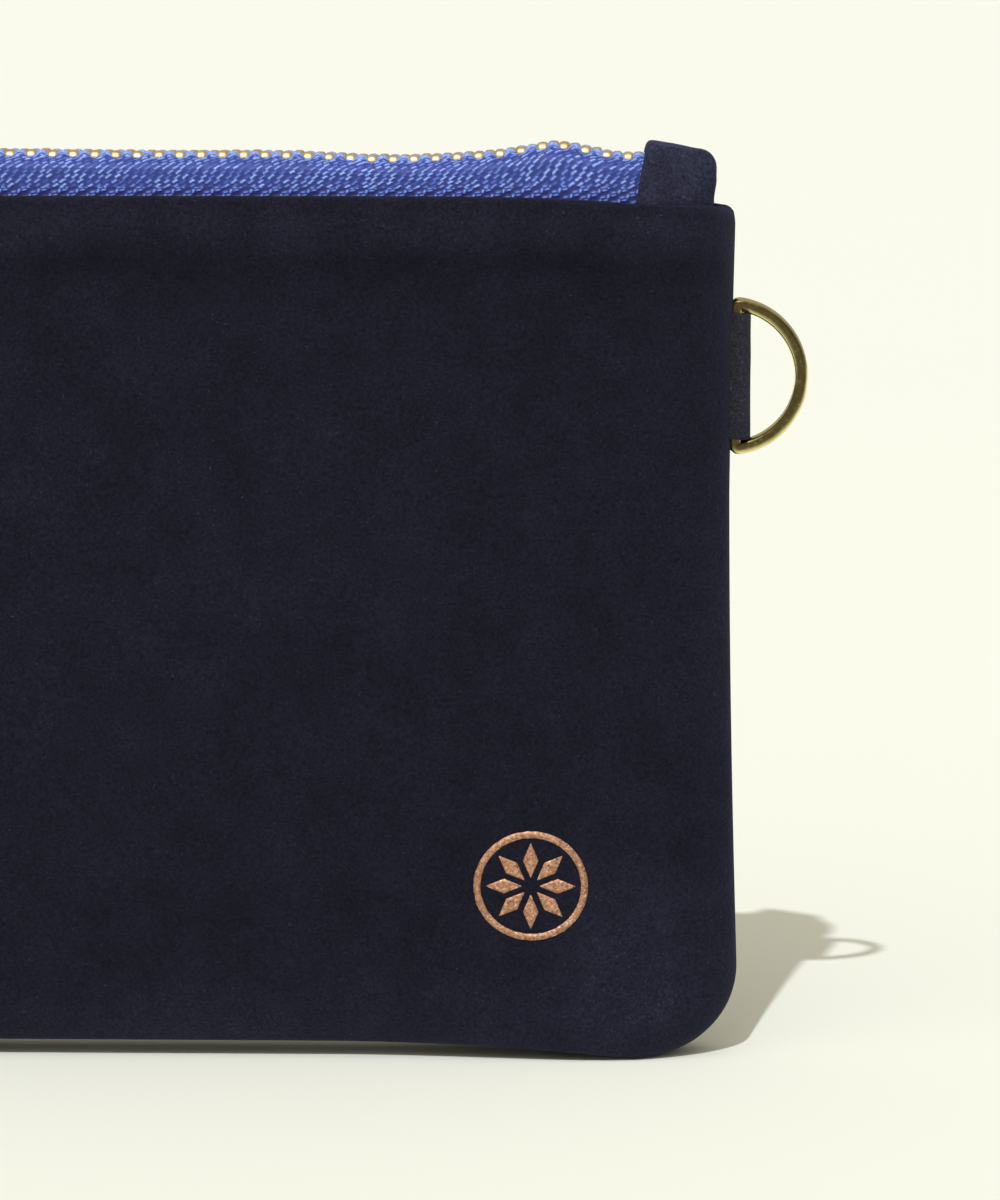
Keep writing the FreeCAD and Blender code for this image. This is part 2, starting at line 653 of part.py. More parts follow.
def make_lock_spring():
    """The flat spring inside the crown, whose claw reaches through the plate towards the teeth."""
    body = doc.addObject("PartDesign::Body", "lock_spring")
    strip = sketch_in(body, "XZ_Plane", "spring_side")
    left, top = "-crown_long / 2 + crown_wall + spring_gap", "crown_rise - crown_wall - spring_gap"
    claw_left, claw_right = "claw_at - claw_thick / 2", "claw_at + claw_thick / 2"
    under, tip = f"{top} - claw_thick", "-slider_plate + 2 * spring_gap"
    draw_loop(strip, [
        (left, under),
        (left, top),
        (claw_right, top),
        (claw_right, tip),
        (claw_left, tip),
        (claw_left, under),
    ])
    pad(body, strip, "claw_wide")
    place_on_slider(body, "slider_channel + slider_plate")
    part(body, "lock_spring")


def make_pull_tab():
    """A flat metal pull: a bar through the crown, a window round it, and a finger hole."""
    body = doc.addObject("PartDesign::Body", "pull_tab")
    plan = sketch_in(body, "XY_Plane", "pull_plan")
    draw_loop(plan, [
        ("0", "-pull_width / 2"),
        ("pull_length - pull_width / 2", "-pull_width / 2", ("pull_width / 2", -1)),
        ("pull_length", "0", ("pull_width / 2", -1)),
        ("pull_length - pull_width / 2", "pull_width / 2"),
        ("0", "pull_width / 2"),
        ("0", "crown_wide / 2 + window_room"),
        ("pull_window", "crown_wide / 2 + window_room"),
        ("pull_window", "-(crown_wide / 2 + window_room)"),
        ("0", "-(crown_wide / 2 + window_room)"),
    ])
    draw_circle(plan, "pull_length - pull_width / 2", "0", "pull_hole")
    pad(body, plan, "pull_thick")
    bar = sketch_in(body, "XZ_Plane", "pull_bar")
    draw_circle(bar, "0", "0", "pull_thick / 2")
    pad(body, bar, "pull_width")
    body.Placement = FreeCAD.Placement(FreeCAD.Vector(), FreeCAD.Rotation(Y_AXIS, size("pull_droop")))
    place_on_slider(body, "slider_channel + slider_plate + pivot_rise")
    part(body, "pull_tab")


# ---- End tabs, D-ring and its loop -----------------------------------------------------


def make_end_tabs():
    """A leather cap over each end of the zip, hollow over the chain and pinched at its outer edge."""
    body = doc.addObject("PartDesign::Body", "end_tab_right")
    face = sketch_in(body, "XZ_Plane", "tab_face")
    draw_loop(face, [
        ("tab_start", "tab_low"),
        ("tab_start", "body_height"),
        ("tab_start + 0.8", "tab_top - 0.7", ("tab_inner_round", 1)),
        ("tab_start + 1.5", "tab_top"),
        ("tab_end - 2.2", "tab_top - 0.7", ("tab_outer_round", 1)),
        ("tab_end - 0.1", "tab_top - 2.7"),
        ("tab_end", "tab_low"),
    ])
    pad(body, face, "2 * tab_half")
    flare = sketch_in(body, "XY_Plane", "tab_taper", "tab_top")
    for side in ("", "-"):
        draw_loop(flare, [
            ("tab_start + tab_straight", f"{side}tab_half"),
            ("tab_end + 1", f"{side}(tab_tip - (tab_half - tab_tip) / (tab_end - tab_start - tab_straight))"),
            ("tab_end + 1", f"{side}(tab_half + 1)"),
            ("tab_start + tab_straight", f"{side}(tab_half + 1)"),
        ])
    pocket(body, flare, "4 * (tab_top - tab_low)")
    room = sketch_in(body, "YZ_Plane", "tab_room")
    half_tape = "tape_flat + tape_bend + tape_thick / 2 + fit_gap"
    tape_top = "chain_level + tape_thick / 2 + fit_gap"
    chain_half, chain_top = "tooth_out + fit_gap", "chain_level + tooth_half + fit_gap"
    draw_loop(room, [
        (f"-({half_tape})", "tab_low - 1"),
        (f"-({half_tape})", tape_top),
        (f"-({chain_half})", tape_top),
        (f"-({chain_half})", chain_top),
        (chain_half, chain_top),
        (chain_half, tape_top),
        (half_tape, tape_top),
        (half_tape, "tab_low - 1"),
    ])
    pocket(body, room, "tape_length + 2 * fit_gap")
    part(body, "end_tab_right")
    mirrored(body, "end_tab_left", X_AXIS)


def make_ring_loop():
    """The leather strap folded round the D-ring's bar, with its two ends sewn into the side seam."""
    body = doc.addObject("PartDesign::Body", "ring_loop")
    drawing = sketch_in(body, "XY_Plane", "loop_section", "ring_level")
    outer, hole = "(ring_wire + bar_room + leather)", "ring_wire + bar_room"
    lean = "72"
    touch_across = f"bar_offset - {outer} * cos({lean})"
    touch_up = f"{outer} * sin({lean})"
    draw_loop(drawing, [
        ("loop_inside", "-leather"),
        ("loop_neck", "-leather"),
        (touch_across, f"-{touch_up}", (outer, -1)),
        (f"bar_offset + {outer}", "0", (outer, -1)),
        (touch_across, touch_up),
        ("loop_neck", "leather"),
        ("loop_inside", "leather"),
    ])
    draw_circle(drawing, "bar_offset", "0", hole)
    draw_circle(drawing, "body_width / 2 - seam_inset", "0", "thread_radius + fit_gap")
    pad(body, drawing, "loop_width")
    part(body, "ring_loop")


def make_d_ring():
    """A round wire bent into a D, closed by the straight bar that lies in the loop."""
    mean, wire, bar, level = (size(name) for name in ("ring_mean", "ring_wire", "bar_offset", "ring_level"))
    low = FreeCAD.Vector(bar, 0, level - mean)
    far = FreeCAD.Vector(bar + size("bow_depth"), 0, level)
    high = FreeCAD.Vector(bar, 0, level + mean)
    bow = Part.Arc(low, far, high).toShape()
    section = Part.Wire(Part.Circle(low, bow.tangentAt(bow.FirstParameter), wire).toShape())
    bent = Part.Wire(bow).makePipeShell([section], True, True)
    straight = Part.makeCylinder(wire, 2 * mean, low, Z_AXIS)
    knuckles = [Part.makeSphere(wire, end) for end in (low, high)]
    part(solid("d_ring", bent.fuse([straight] + knuckles).removeSplitter()), "d_ring")


# ---- Build, test and write -------------------------------------------------------------

outside = make_panels()
make_lining()
make_seam_thread()
make_emblem(outside)
make_tapes()
make_cords()
make_tooth_row("teeth_front", FreeCAD.Rotation(), "tooth_first")
make_tooth_row("teeth_back", ABOUT_Z, "tooth_first + (tooth_count - 0.5) * tooth_pitch")
make_top_stops()
make_bottom_stop()
make_zip_threads()
make_slider_body()
make_slider_crown()
make_lock_spring()
make_pull_tab()
make_end_tabs()
make_ring_loop()
make_d_ring()
doc.recompute()

for obj in doc.Objects:
    if "Invalid" in obj.State or "Error" in obj.State:
        raise RuntimeError(f"{obj.Label} failed: {obj.State}")
for obj in parts:
    if obj.Shape.isNull() or not obj.Shape.isValid() or not obj.Shape.Solids:
        raise RuntimeError(f"{obj.Label} has no valid solid")

os.makedirs("parts", exist_ok=True)
for obj in parts:
    obj.Shape.exportStep(f"parts/{obj.Label}.step")
    print(f"{obj.Label}: {len(obj.Shape.Solids)} solids, {obj.Shape.Volume:.1f} mm3")
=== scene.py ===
import math

import bmesh
import bpy
import numpy as np
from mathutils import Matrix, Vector


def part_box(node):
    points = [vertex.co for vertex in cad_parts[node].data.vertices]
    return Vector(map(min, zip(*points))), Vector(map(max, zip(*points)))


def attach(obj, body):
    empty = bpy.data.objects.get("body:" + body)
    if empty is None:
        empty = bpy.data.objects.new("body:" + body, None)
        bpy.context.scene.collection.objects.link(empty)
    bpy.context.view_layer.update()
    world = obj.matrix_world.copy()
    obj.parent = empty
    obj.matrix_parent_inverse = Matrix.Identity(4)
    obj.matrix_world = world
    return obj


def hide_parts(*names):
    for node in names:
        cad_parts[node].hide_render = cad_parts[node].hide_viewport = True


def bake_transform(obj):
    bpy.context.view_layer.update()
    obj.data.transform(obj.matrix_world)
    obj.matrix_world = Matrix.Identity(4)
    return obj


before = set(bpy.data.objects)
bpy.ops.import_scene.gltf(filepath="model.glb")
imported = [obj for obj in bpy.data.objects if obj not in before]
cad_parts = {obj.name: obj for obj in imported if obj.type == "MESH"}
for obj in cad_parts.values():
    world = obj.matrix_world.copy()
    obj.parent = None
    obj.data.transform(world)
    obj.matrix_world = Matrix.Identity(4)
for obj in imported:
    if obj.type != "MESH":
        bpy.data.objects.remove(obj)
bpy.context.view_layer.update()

MM = 0.001

# ---- Sizes, in millimetres, read from the frame ----------------------------------------


def box_mm(node):
    """Lowest and highest corner of a CAD node, in millimetres."""
    low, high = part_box(node)
    return np.array(low) / MM, np.array(high) / MM


PANEL_LOW, PANEL_HIGH = box_mm("front_panel")
TAPE_LOW, TAPE_HIGH = box_mm("zipper_tape_front")
TEETH_LOW, TEETH_HIGH = box_mm("teeth_front")
TAB_LOW, TAB_HIGH = box_mm("end_tab_right")
FOIL_LOW, FOIL_HIGH = box_mm("foil_emblem")
STITCH_LOW, STITCH_HIGH = box_mm("zip_seam_thread_front")

HALF_WIDTH = PANEL_HIGH[0]
HEIGHT = PANEL_HIGH[2]
CORNER = 11.0  # radius of the lower corners
WAIST = 0.6  # how far each side draws in at mid height
BELLY = -PANEL_LOW[1] - 0.1  # half depth at the fullest level
BELLY_LEVEL = 38.0  # height of that level
FOOT = 3.5  # half depth at the ground
SPLAY = 3.2  # how much further out the ends of the foot stand
SPLAY_START, SPLAY_END = 28, 66  # where along the foot the splay begins and is full
FLARE = 1.0  # how much wider each side stands at the ground
FLARE_TOP = 66  # height at which that flare has gone
RIM = 7.77  # half depth at the top edge
LENS, RIM_SQUARE, FOOT_SQUARE = 3.0, 15.0, 8.0  # exponents that make up the plan section
LEATHER = 0.9  # thickness
SEAM_ROUND = 0.9  # radius of the leather where it turns into the seam
SIDE_TURN = 2.4  # how far inside the outline the hollow of the pouch begins
TOP_ROUND = 1.3  # radius of the upper corners
HEM = 7.5  # how deep the leather is folded in along the zip
ARCH = 1.8  # how far the bottom edge lifts in the middle
ARCH_TOP = 40  # height at which that lift has gone
RIM_RISE = 0.8  # how far the rim stands up between its ends
RIM_FALL = 0.55  # how far it falls at its ends
TOOTH_COUNT = 50
TOOTH_LONG = 1.45  # one tooth, along the zip
PITCH = (TEETH_HIGH[0] - TEETH_LOW[0] - TOOTH_LONG) / (TOOTH_COUNT - 1)
FIRST_TOOTH = TEETH_LOW[0] + TOOTH_LONG / 2
CHAIN = (TEETH_LOW[2] + TEETH_HIGH[2]) / 2
TAPE_THICK = 0.5
TAPE_OUTER = -TAPE_LOW[1]
CORD_AT = 2.2  # bead cord, from the middle of the chain
LEFT_REACH = 66.0  # how far the open part of the mouth reaches to the left of the middle
RIGHT_REACH = 53.0  # and to the right, where the slider stops
SIDES = {"front": -1, "back": 1}
PANEL_SEED = {"front": 11, "back": 23}

# Rounded ridges and grooves: height, place of the middle and spread
HEM_BAND = (0.19, -3.6, 2.3)  # placed from the rim
CREASE = (-0.42, 0.0, 1.15)  # placed from the crease under the hem
CREASE_LIP = (0.16, -2.6, 1.3)
LOW_BAND = (0.20, 4.2, 2.0)  # placed from the ground
LOW_GROOVE = (-0.16, 8.6, 1.6)
SIDE_BAND = (0.16, 3.6, 1.7)  # placed from the side edge
SIDE_GROOVE = (-0.20, 7.2, 1.5)
CHAIN_HUMPS = ((1.0, 54.5, 4.8), (-0.5, 36.5, 9.0), (-0.3, 62.0, 4.0))  # placed along the zip


# ---- Shape functions shared by the soft pieces -----------------------------------------


def smooth(value, low, high):
    """0 below low, 1 above high, and an S curve between."""
    share = np.clip((value - low) / (high - low), 0, 1)
    return share * share * (3 - 2 * share)


def ridge(distance, height, middle, spread):
    """A rounded ridge, or a groove when its height is negative."""
    return height * np.exp(-(((distance - middle) / spread) ** 2))


def waves(across, up, scale, seed, count=14):
    """Smooth random relief of about -1 to 1 with features of a given size in millimetres."""
    random = np.random.default_rng(seed)
    total = np.zeros(np.broadcast(across, up).shape)
    for _ in range(count):
        angle, phase = random.uniform(0, 2 * np.pi, 2)
        rate = 2 * np.pi / scale * random.uniform(0.5, 1.3)
        total += np.sin(rate * (across * np.cos(angle) + up * np.sin(angle)) + phase)
    return total / np.sqrt(count) / 1.4


def half_depth(across, level):
    """Half depth of the pouch at a height: a foot that is widest at its ends, a belly, then the rim."""
    foot = FOOT + SPLAY * smooth(np.abs(across), SPLAY_START, SPLAY_END)
    low_part = np.sqrt(np.clip(1 - (1 - np.clip(level, 0, BELLY_LEVEL) / BELLY_LEVEL) ** 2, 0, 1))
    rise = foot + (BELLY - foot) * low_part
    share = np.clip((level - BELLY_LEVEL) / (HEIGHT - BELLY_LEVEL), 0, 1)
    fall = RIM + (BELLY - RIM) * (1 + np.cos(np.pi * share)) / 2
    return np.where(level < BELLY_LEVEL, rise, fall)


def squareness(level):
    """Exponent of the plan section: a lens at the belly, squarer at the ground and squarest at the rim."""
    at_rim = RIM_SQUARE * (np.clip(level, 0, HEIGHT) / HEIGHT) ** 8
    at_foot = FOOT_SQUARE * np.exp(-np.clip(level, 0, None) / 6.0)
    return LENS + at_rim + at_foot


def side_edge(level):
    """Half width of the body at a height, with the waist and the flare but not the corners."""
    flare = FLARE * np.clip(1 - level / FLARE_TOP, 0, 1)
    return HALF_WIDTH - WAIST * np.sin(np.pi * np.clip(level, 0, HEIGHT) / HEIGHT) + flare


def inset_width(level, inset):
    """Half width of the body's outline, drawn in by an inset that runs round the corners too."""
    radius = CORNER - inset
    under = np.clip(CORNER - level, 0, radius)
    return side_edge(level) - CORNER + np.sqrt(radius**2 - under**2)


def surface_depth(across, level):
    """Distance of the plain outer leather from the middle plane."""
    edge = np.maximum(inset_width(level, 0), 1)
    share = np.clip(np.abs(across) / edge, 0, 1)
    swell = np.sqrt(1 - share ** squareness(level))
    return SEAM_ROUND + (half_depth(across, level) - SEAM_ROUND) * swell


def leather_relief(across, level, seed):
    """Raised and sunk places of the outer leather: the hem's band and crease, the seam allowances that show
    through, and the loose swell of soft leather."""
    edge = inset_width(level, 0) - np.abs(across)
    fade = smooth(edge, 0.3, 5) * smooth(level, 0.5, 6)
    top_fade = smooth(HEIGHT - level, 0, 2.5)
    from_crease = level - (HEIGHT - HEM + 0.3 * waves(across, 0 * level, 30, seed))
    crease_strength = 0.75 + 0.25 * waves(across, level, 22, seed + 1)
    hem = ridge(level - HEIGHT, *HEM_BAND) + ridge(from_crease, *CREASE) * crease_strength
    hem += ridge(from_crease, *CREASE_LIP)
    low = ridge(level, *LOW_BAND) + ridge(level, *LOW_GROOVE)
    sides = ridge(edge, *SIDE_BAND) + ridge(edge, *SIDE_GROOVE)
    swell = 0.30 * waves(across, level, 46, seed + 2) + 0.09 * waves(across, level, 15, seed + 3)
    fine = 0.018 * waves(across, level, 3.2, seed + 4, 24)
    seams = (hem + low) * smooth(edge, 0.5, 4) + sides * smooth(level, 4, 16) * top_fade
    return seams + (swell * top_fade + fine) * fade


def droop(across, level):
    """Height change of the soft outline. The bottom arches up between its ends. The rim rises between its
    ends, falls at them and rounds off at the upper corners."""
    share = np.clip(np.abs(across) / (HALF_WIDTH - CORNER), 0, 1)
    lift = ARCH * (1 - share**6) * np.clip(1 - level / ARCH_TOP, 0, 1) ** 2
    rise = RIM_RISE * (1 - share**8) * smooth(level, 84, HEIGHT)
    fall = RIM_FALL * np.clip(np.abs(across) / HALF_WIDTH, 0, 1) ** 8 * smooth(level, 80, HEIGHT)
    past = np.clip(np.abs(across) - HALF_WIDTH + TOP_ROUND, 0, TOP_ROUND)
    rounded = (TOP_ROUND - np.sqrt(TOP_ROUND**2 - past**2)) * smooth(level, 90, 97)
    return lift + rise - fall - rounded


def chain_wave(across):
    """Height change of the zip along its length: a sag and then a rise before the right end tab."""
    total = sum(ridge(across, *hump) for hump in CHAIN_HUMPS)
    from_ends = smooth(HALF_WIDTH - 11 - np.abs(across), 0, 12)
    return total + 0.12 * waves(across, 0 * across, 34, 5) * from_ends


def opening_share(across, level):
    """How much a point follows its zip half when the mouth opens: all of it in the middle of the mouth, none
    at the ends or at the bottom."""
    along = np.clip(np.where(across < 0, -across / LEFT_REACH, across / RIGHT_REACH), 0, 1)
    return np.cos(np.pi / 2 * along) ** 2 * smooth(level, 12, 95)


# ---- Mesh helpers ----------------------------------------------------------------------

WELD = 0.002  # points of a loaded mesh nearer to each other than this become one
TUBE_UP = (0.0, 0.31, 0.95)  # a direction that no tube's path follows


def mesh_piece(name, points_mm, faces, material, attributes=None):
    """A smooth-shaded closed mesh from points in millimetres, with every face turned outwards."""
    data = bpy.data.meshes.new(name)
    data.from_pydata((np.asarray(points_mm, float) * MM).tolist(), [], [list(face) for face in faces])
    data.validate()
    for key, values in (attributes or {}).items():
        layer = data.attributes.new(key, "FLOAT", "POINT")
        layer.data.foreach_set("value", np.asarray(values, np.float32).ravel())
    data.polygons.foreach_set("use_smooth", [True] * len(data.polygons))
    data.materials.append(material)
    piece = bpy.data.objects.new(name, data)
    bpy.context.scene.collection.objects.link(piece)
    work = bmesh.new()
    work.from_mesh(data)
    bmesh.ops.recalc_face_normals(work, faces=work.faces)
    work.to_mesh(data)
    work.free()
    return piece


def grid_quads(rows, columns, wrap_rows=False, start=0):
    """Quads of a rows x columns grid of points, row by row."""
    index = start + np.arange(rows * columns).reshape(rows, columns)
    if wrap_rows:
        index = np.vstack([index, index[:1]])
    quads = np.stack([index[:-1, :-1], index[:-1, 1:], index[1:, 1:], index[1:, :-1]], axis=-1)
    return quads.reshape(-1, 4).tolist()


def bend_with_mouth(piece):
    """Bakes the piece's placement into its mesh."""
    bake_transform(piece)


def apply_modifiers(piece):
    """Makes the piece's modifiers real."""
    graph = bpy.context.evaluated_depsgraph_get()
    final = bpy.data.meshes.new_from_object(piece.evaluated_get(graph))
    old = piece.data
    piece.modifiers.clear()
    piece.data = final
    bpy.data.meshes.remove(old)


def copy_of(node, material):
    """A separate, welded copy of a CAD node's mesh."""
    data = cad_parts[node].data.copy()
    data.materials.clear()
    data.materials.append(material)
    piece = bpy.data.objects.new(f"{node}_finish", data)
    bpy.context.scene.collection.objects.link(piece)
    work = bmesh.new()
    work.from_mesh(data)
    bmesh.ops.remove_doubles(work, verts=work.verts, dist=WELD * MM)
    bmesh.ops.dissolve_limit(work, angle_limit=math.radians(2), verts=work.verts, edges=work.edges)
    work.to_mesh(data)
    work.free()
    return piece


def points_of(piece):
    """The piece's points in millimetres."""
    points = np.empty(len(piece.data.vertices) * 3, np.float32)
    piece.data.vertices.foreach_get("co", points)
    return points.reshape(-1, 3).astype(float) / MM


def move_points(piece, points):
    """Gives the piece new points, in millimetres."""
    piece.data.vertices.foreach_set("co", (points * MM).astype(np.float32).ravel())
    piece.data.update()


def tube(path, radii, sides, closed=False, power=1.0):
    """Points and faces of a tube along a path. Power 1 is round, and less is squarer."""
    path = np.asarray(path, float)
    radii = np.broadcast_to(np.asarray(radii, float), len(path))
    ahead = np.roll(path, -1, 0) - np.roll(path, 1, 0)
    if not closed:
        ahead[0], ahead[-1] = path[1] - path[0], path[-1] - path[-2]
    ahead /= np.linalg.norm(ahead, axis=1)[:, None]
    across = np.cross(ahead, TUBE_UP)
    across /= np.linalg.norm(across, axis=1)[:, None]
    upward = np.cross(across, ahead)
    turn = 2 * np.pi * np.arange(sides) / sides
    wide, tall = (np.sign(wave) * np.abs(wave) ** power for wave in (np.cos(turn), np.sin(turn)))
    ring = wide[None, :, None] * across[:, None] + tall[None, :, None] * upward[:, None]
    points = (path[:, None] + radii[:, None, None] * ring).reshape(-1, 3)
    faces = []
    rings = len(path)
    for index in range(rings if closed else rings - 1):
        follower = (index + 1) % rings
        for side in range(sides):
            beside = (side + 1) % sides
            faces.append((index * sides + side, index * sides + beside,
                          follower * sides + beside, follower * sides + side))
    if not closed:
        faces.append(tuple(range(sides))[::-1])
        faces.append(tuple(range((rings - 1) * sides, rings * sides)))
    return points, faces


def joined(shells):
    """One list of points and faces from several (points, faces) pairs."""
    points, faces, start = [], [], 0
    for shell_points, shell_faces in shells:
        points.append(shell_points)
        faces += [tuple(start + corner for corner in face) for face in shell_faces]
        start += len(shell_points)
    return np.vstack(points), faces


def shell_between(outer, inner):
    """Points and faces of a closed sheet between two grids of the same shape."""
    rows, columns = outer.shape[:2]
    total = rows * columns
    faces = grid_quads(rows, columns) + [face[::-1] for face in grid_quads(rows, columns, start=total)]
    index = np.arange(total).reshape(rows, columns)
    rim = np.concatenate([index[0], index[1:, -1], index[-1, -2::-1], index[-2:0:-1, 0]])
    for corner, follower in zip(rim, np.roll(rim, -1)):
        faces.append((follower, corner, corner + total, follower + total))
    return np.vstack([outer.reshape(-1, 3), inner.reshape(-1, 3)]), faces


# ---- Materials -------------------------------------------------------------------------


def new_material(name, **sockets):
    """A material with a Principled shader, its values set on the shader's own sockets."""
    made = bpy.data.materials.new(name)
    made.use_nodes = True
    tree = made.node_tree
    shader = tree.nodes["Principled BSDF"]
    for socket, value in sockets.items():
        shader.inputs[socket.replace("_", " ")].default_value = value
    return made, tree, shader


def linear(red, green, blue):
    """A linear colour from 8-bit display values."""
    channels = []
    for value in (red, green, blue):
        share = value / 255
        channels.append(share / 12.92 if share <= 0.04045 else ((share + 0.055) / 1.055) ** 2.4)
    return (*channels, 1.0)


def add(tree, kind, **values):
    """A node with some of its properties and inputs set."""
    node = tree.nodes.new(kind)
    for key, value in values.items():
        if hasattr(node, key):
            setattr(node, key, value)
        else:
            node.inputs[key.replace("_", " ")].default_value = value
    return node


def noise(tree, size_mm, detail=4.0, roughness=0.55, stretch=(1, 1, 1)):
    """A noise value with features of a given size."""
    place = add(tree, "ShaderNodeTexCoord")
    scaled = add(tree, "ShaderNodeMapping")
    scaled.inputs["Scale"].default_value = stretch
    texture = add(tree, "ShaderNodeTexNoise", Scale=1 / (size_mm * MM), Detail=detail, Roughness=roughness)
    tree.links.new(place.outputs["Object"], scaled.inputs["Vector"])
    tree.links.new(scaled.outputs["Vector"], texture.inputs["Vector"])
    return texture.outputs["Fac"]


def ramp(tree, source, *stops):
    """A colour ramp over (position, colour) stops."""
    node = add(tree, "ShaderNodeValToRGB")
    marks = node.color_ramp.elements
    while len(marks) < len(stops):
        marks.new(0.5)
    for mark, (position, colour) in zip(marks, stops):
        mark.position = position
        mark.color = colour
    tree.links.new(source, node.inputs["Fac"])
    return node.outputs["Color"]


def grey(value):
    """A ramp colour of one brightness."""
    return (value, value, value, 1.0)


def mix(tree, share, first, second, kind="MIX"):
    """A blend of two colours. The share and the colours are outputs or plain values."""
    node = add(tree, "ShaderNodeMix", data_type="RGBA", blend_type=kind)
    for socket, value in ((node.inputs[0], share), (node.inputs[6], first), (node.inputs[7], second)):
        if isinstance(value, bpy.types.NodeSocket):
            tree.links.new(value, socket)
        else:
            socket.default_value = value
    return node.outputs[2]


def attribute(tree, name):
    """A value stored on the mesh."""
    return add(tree, "ShaderNodeAttribute", attribute_name=name).outputs["Fac"]


def bump(tree, shader, *layers):
    """Bump from (height, depth in mm) layers."""
    normal = None
    for height, depth in layers:
        node = add(tree, "ShaderNodeBump", Distance=depth * MM)
        tree.links.new(height, node.inputs["Height"])
        if normal:
            tree.links.new(normal, node.inputs["Normal"])
        normal = node.outputs["Normal"]
    tree.links.new(normal, shader.inputs["Normal"])


def suede(name, deep, light):
    """Soft dark leather with a short nap. Worn edges and painted light on the mesh make the nap brighter,
    and painted shade in the crease makes it darker.
    """
    made, tree, shader = new_material(
        name, Roughness=0.95, Specular_IOR_Level=0.08, Sheen_Weight=0.13, Sheen_Roughness=0.5,
        Sheen_Tint=linear(170, 176, 225),
    )
    patches = ramp(tree, noise(tree, 7, 6, 0.68), (0.34, deep), (0.72, light))
    speckle = ramp(tree, noise(tree, 0.36, 4, 0.8), (0.32, grey(0.3)), (0.72, grey(1.85)))
    glints = ramp(tree, noise(tree, 0.3, 2, 0.6), (0.66, grey(1.0)), (0.74, grey(3.2)))
    napped = mix(tree, 1.0, mix(tree, 1.0, patches, speckle, "MULTIPLY"), glints, "MULTIPLY")
    # Lightens the nap where the edges are worn and where painted light lies on the band under the rim.
    worn = mix(tree, attribute(tree, "wear_and_painted_light"), napped, mix(tree, 1.0, napped, grey(2.3), "MULTIPLY"))
    # Painted shade darkens the nap in the crease under the hem.
    painted_crease_shade = ramp(tree, attribute(tree, "painted_crease_shade"), (0.0, grey(1.0)), (1.0, grey(0.55)))
    tree.links.new(mix(tree, 1.0, worn, painted_crease_shade, "MULTIPLY"), shader.inputs["Base Color"])
    bump(tree, shader, (noise(tree, 0.32, 5, 0.75), 0.16), (noise(tree, 2.2, 4, 0.6), 0.14))
    return made


def woven_lining():
    """Plain woven lining cloth."""
    made, tree, shader = new_material("lining", Roughness=0.85, Specular_IOR_Level=0.2, Sheen_Weight=0.1)
    weave = noise(tree, 0.35, 2, 0.4, (1, 1, 0.35))
    cloth = ramp(tree, weave, (0.35, linear(40, 42, 62)), (0.7, linear(66, 70, 96)))
    tree.links.new(cloth, shader.inputs["Base Color"])
    bump(tree, shader, (weave, 0.05))
    return made


def zip_tape():
    """Blue knitted zip tape. The mesh's crest value paints light on the high yarns and the cord's swells,
    and painted shade of deep blue between them.
    """
    made, tree, shader = new_material("zip_tape", Roughness=0.5, Specular_IOR_Level=0.45, Sheen_Weight=0.15,
                                      Sheen_Roughness=0.4, Sheen_Tint=linear(190, 205, 255))
    # Painted light on the crests, painted shade of deep blue between them.
    yarn = ramp(tree, attribute(tree, "crest"), (0.0, linear(18, 29, 98)), (0.35, linear(45, 67, 156)),
                (1.0, linear(158, 186, 246)))
    fibre = ramp(tree, noise(tree, 0.2, 3, 0.75), (0.3, grey(0.7)), (0.72, grey(1.35)))
    patches = ramp(tree, noise(tree, 7, 2), (0.3, grey(0.92)), (0.7, grey(1.08)))
    dyed = mix(tree, 1.0, mix(tree, 1.0, yarn, fibre, "MULTIPLY"), patches, "MULTIPLY")
    tree.links.new(dyed, shader.inputs["Base Color"])
    bump(tree, shader, (noise(tree, 0.16, 3, 0.7, (1, 1, 2.5)), 0.03))
    return made


def metal(name, colour, dark, roughness, worn=0.35):
    """Plated metal with faint uneven gloss and a darker tone in patches."""
    made, tree, shader = new_material(name, Metallic=1.0, Specular_IOR_Level=0.5)
    tint = ramp(tree, noise(tree, 3.0, 4, 0.6), (worn, dark), (worn + 0.3, colour))
    tree.links.new(tint, shader.inputs["Base Color"])
    gloss = ramp(tree, noise(tree, 0.8, 4), (0.3, grey(roughness * 0.8)), (0.75, grey(roughness * 1.35)))
    tree.links.new(gloss, shader.inputs["Roughness"])
    bump(tree, shader, (noise(tree, 0.5, 3), 0.006))
    return made


def ring_metal():
    """Old pitted brass: a painted dark reflection on its rougher flat faces, and a painted highlight on its
    glossier bevelled edges.
    """
    made, tree, shader = new_material("ring_metal", Metallic=1.0, Specular_IOR_Level=0.5)
    pits = noise(tree, 0.5, 5, 0.75)
    painted_dark_reflection = ramp(tree, pits, (0.3, linear(66, 57, 34)), (0.62, linear(96, 85, 54)),
                   (0.74, linear(206, 190, 130)))
    painted_bevel_highlight = ramp(tree, noise(tree, 2.0, 3), (0.3, linear(222, 210, 138)), (0.7, linear(246, 236, 172)))
    tree.links.new(mix(tree, attribute(tree, "painted_dark_reflection"), painted_bevel_highlight, painted_dark_reflection), shader.inputs["Base Color"])
    gloss = ramp(tree, attribute(tree, "painted_dark_reflection"), (0.0, grey(0.13)), (1.0, grey(0.34)))
    tree.links.new(gloss, shader.inputs["Roughness"])
    bump(tree, shader, (pits, 0.012))
    return made


def foil():
    """Hot-stamped metal foil, worn through in pinholes where the nap shows."""
    made, tree, shader = new_material("foil", Roughness=0.42, Specular_IOR_Level=0.5)
    holes = ramp(tree, noise(tree, 0.3, 4, 0.75), (0.36, grey(0.0)), (0.44, grey(1.0)))
    tone = ramp(tree, noise(tree, 0.4, 5, 0.8), (0.32, linear(126, 84, 60)), (0.54, linear(204, 152, 120)),
                (0.7, linear(255, 226, 204)))
    tree.links.new(mix(tree, holes, linear(52, 42, 44), tone), shader.inputs["Base Color"])
    tree.links.new(holes, shader.inputs["Metallic"])
    bump(tree, shader, (noise(tree, 0.35, 5, 0.8), 0.10))
    return made


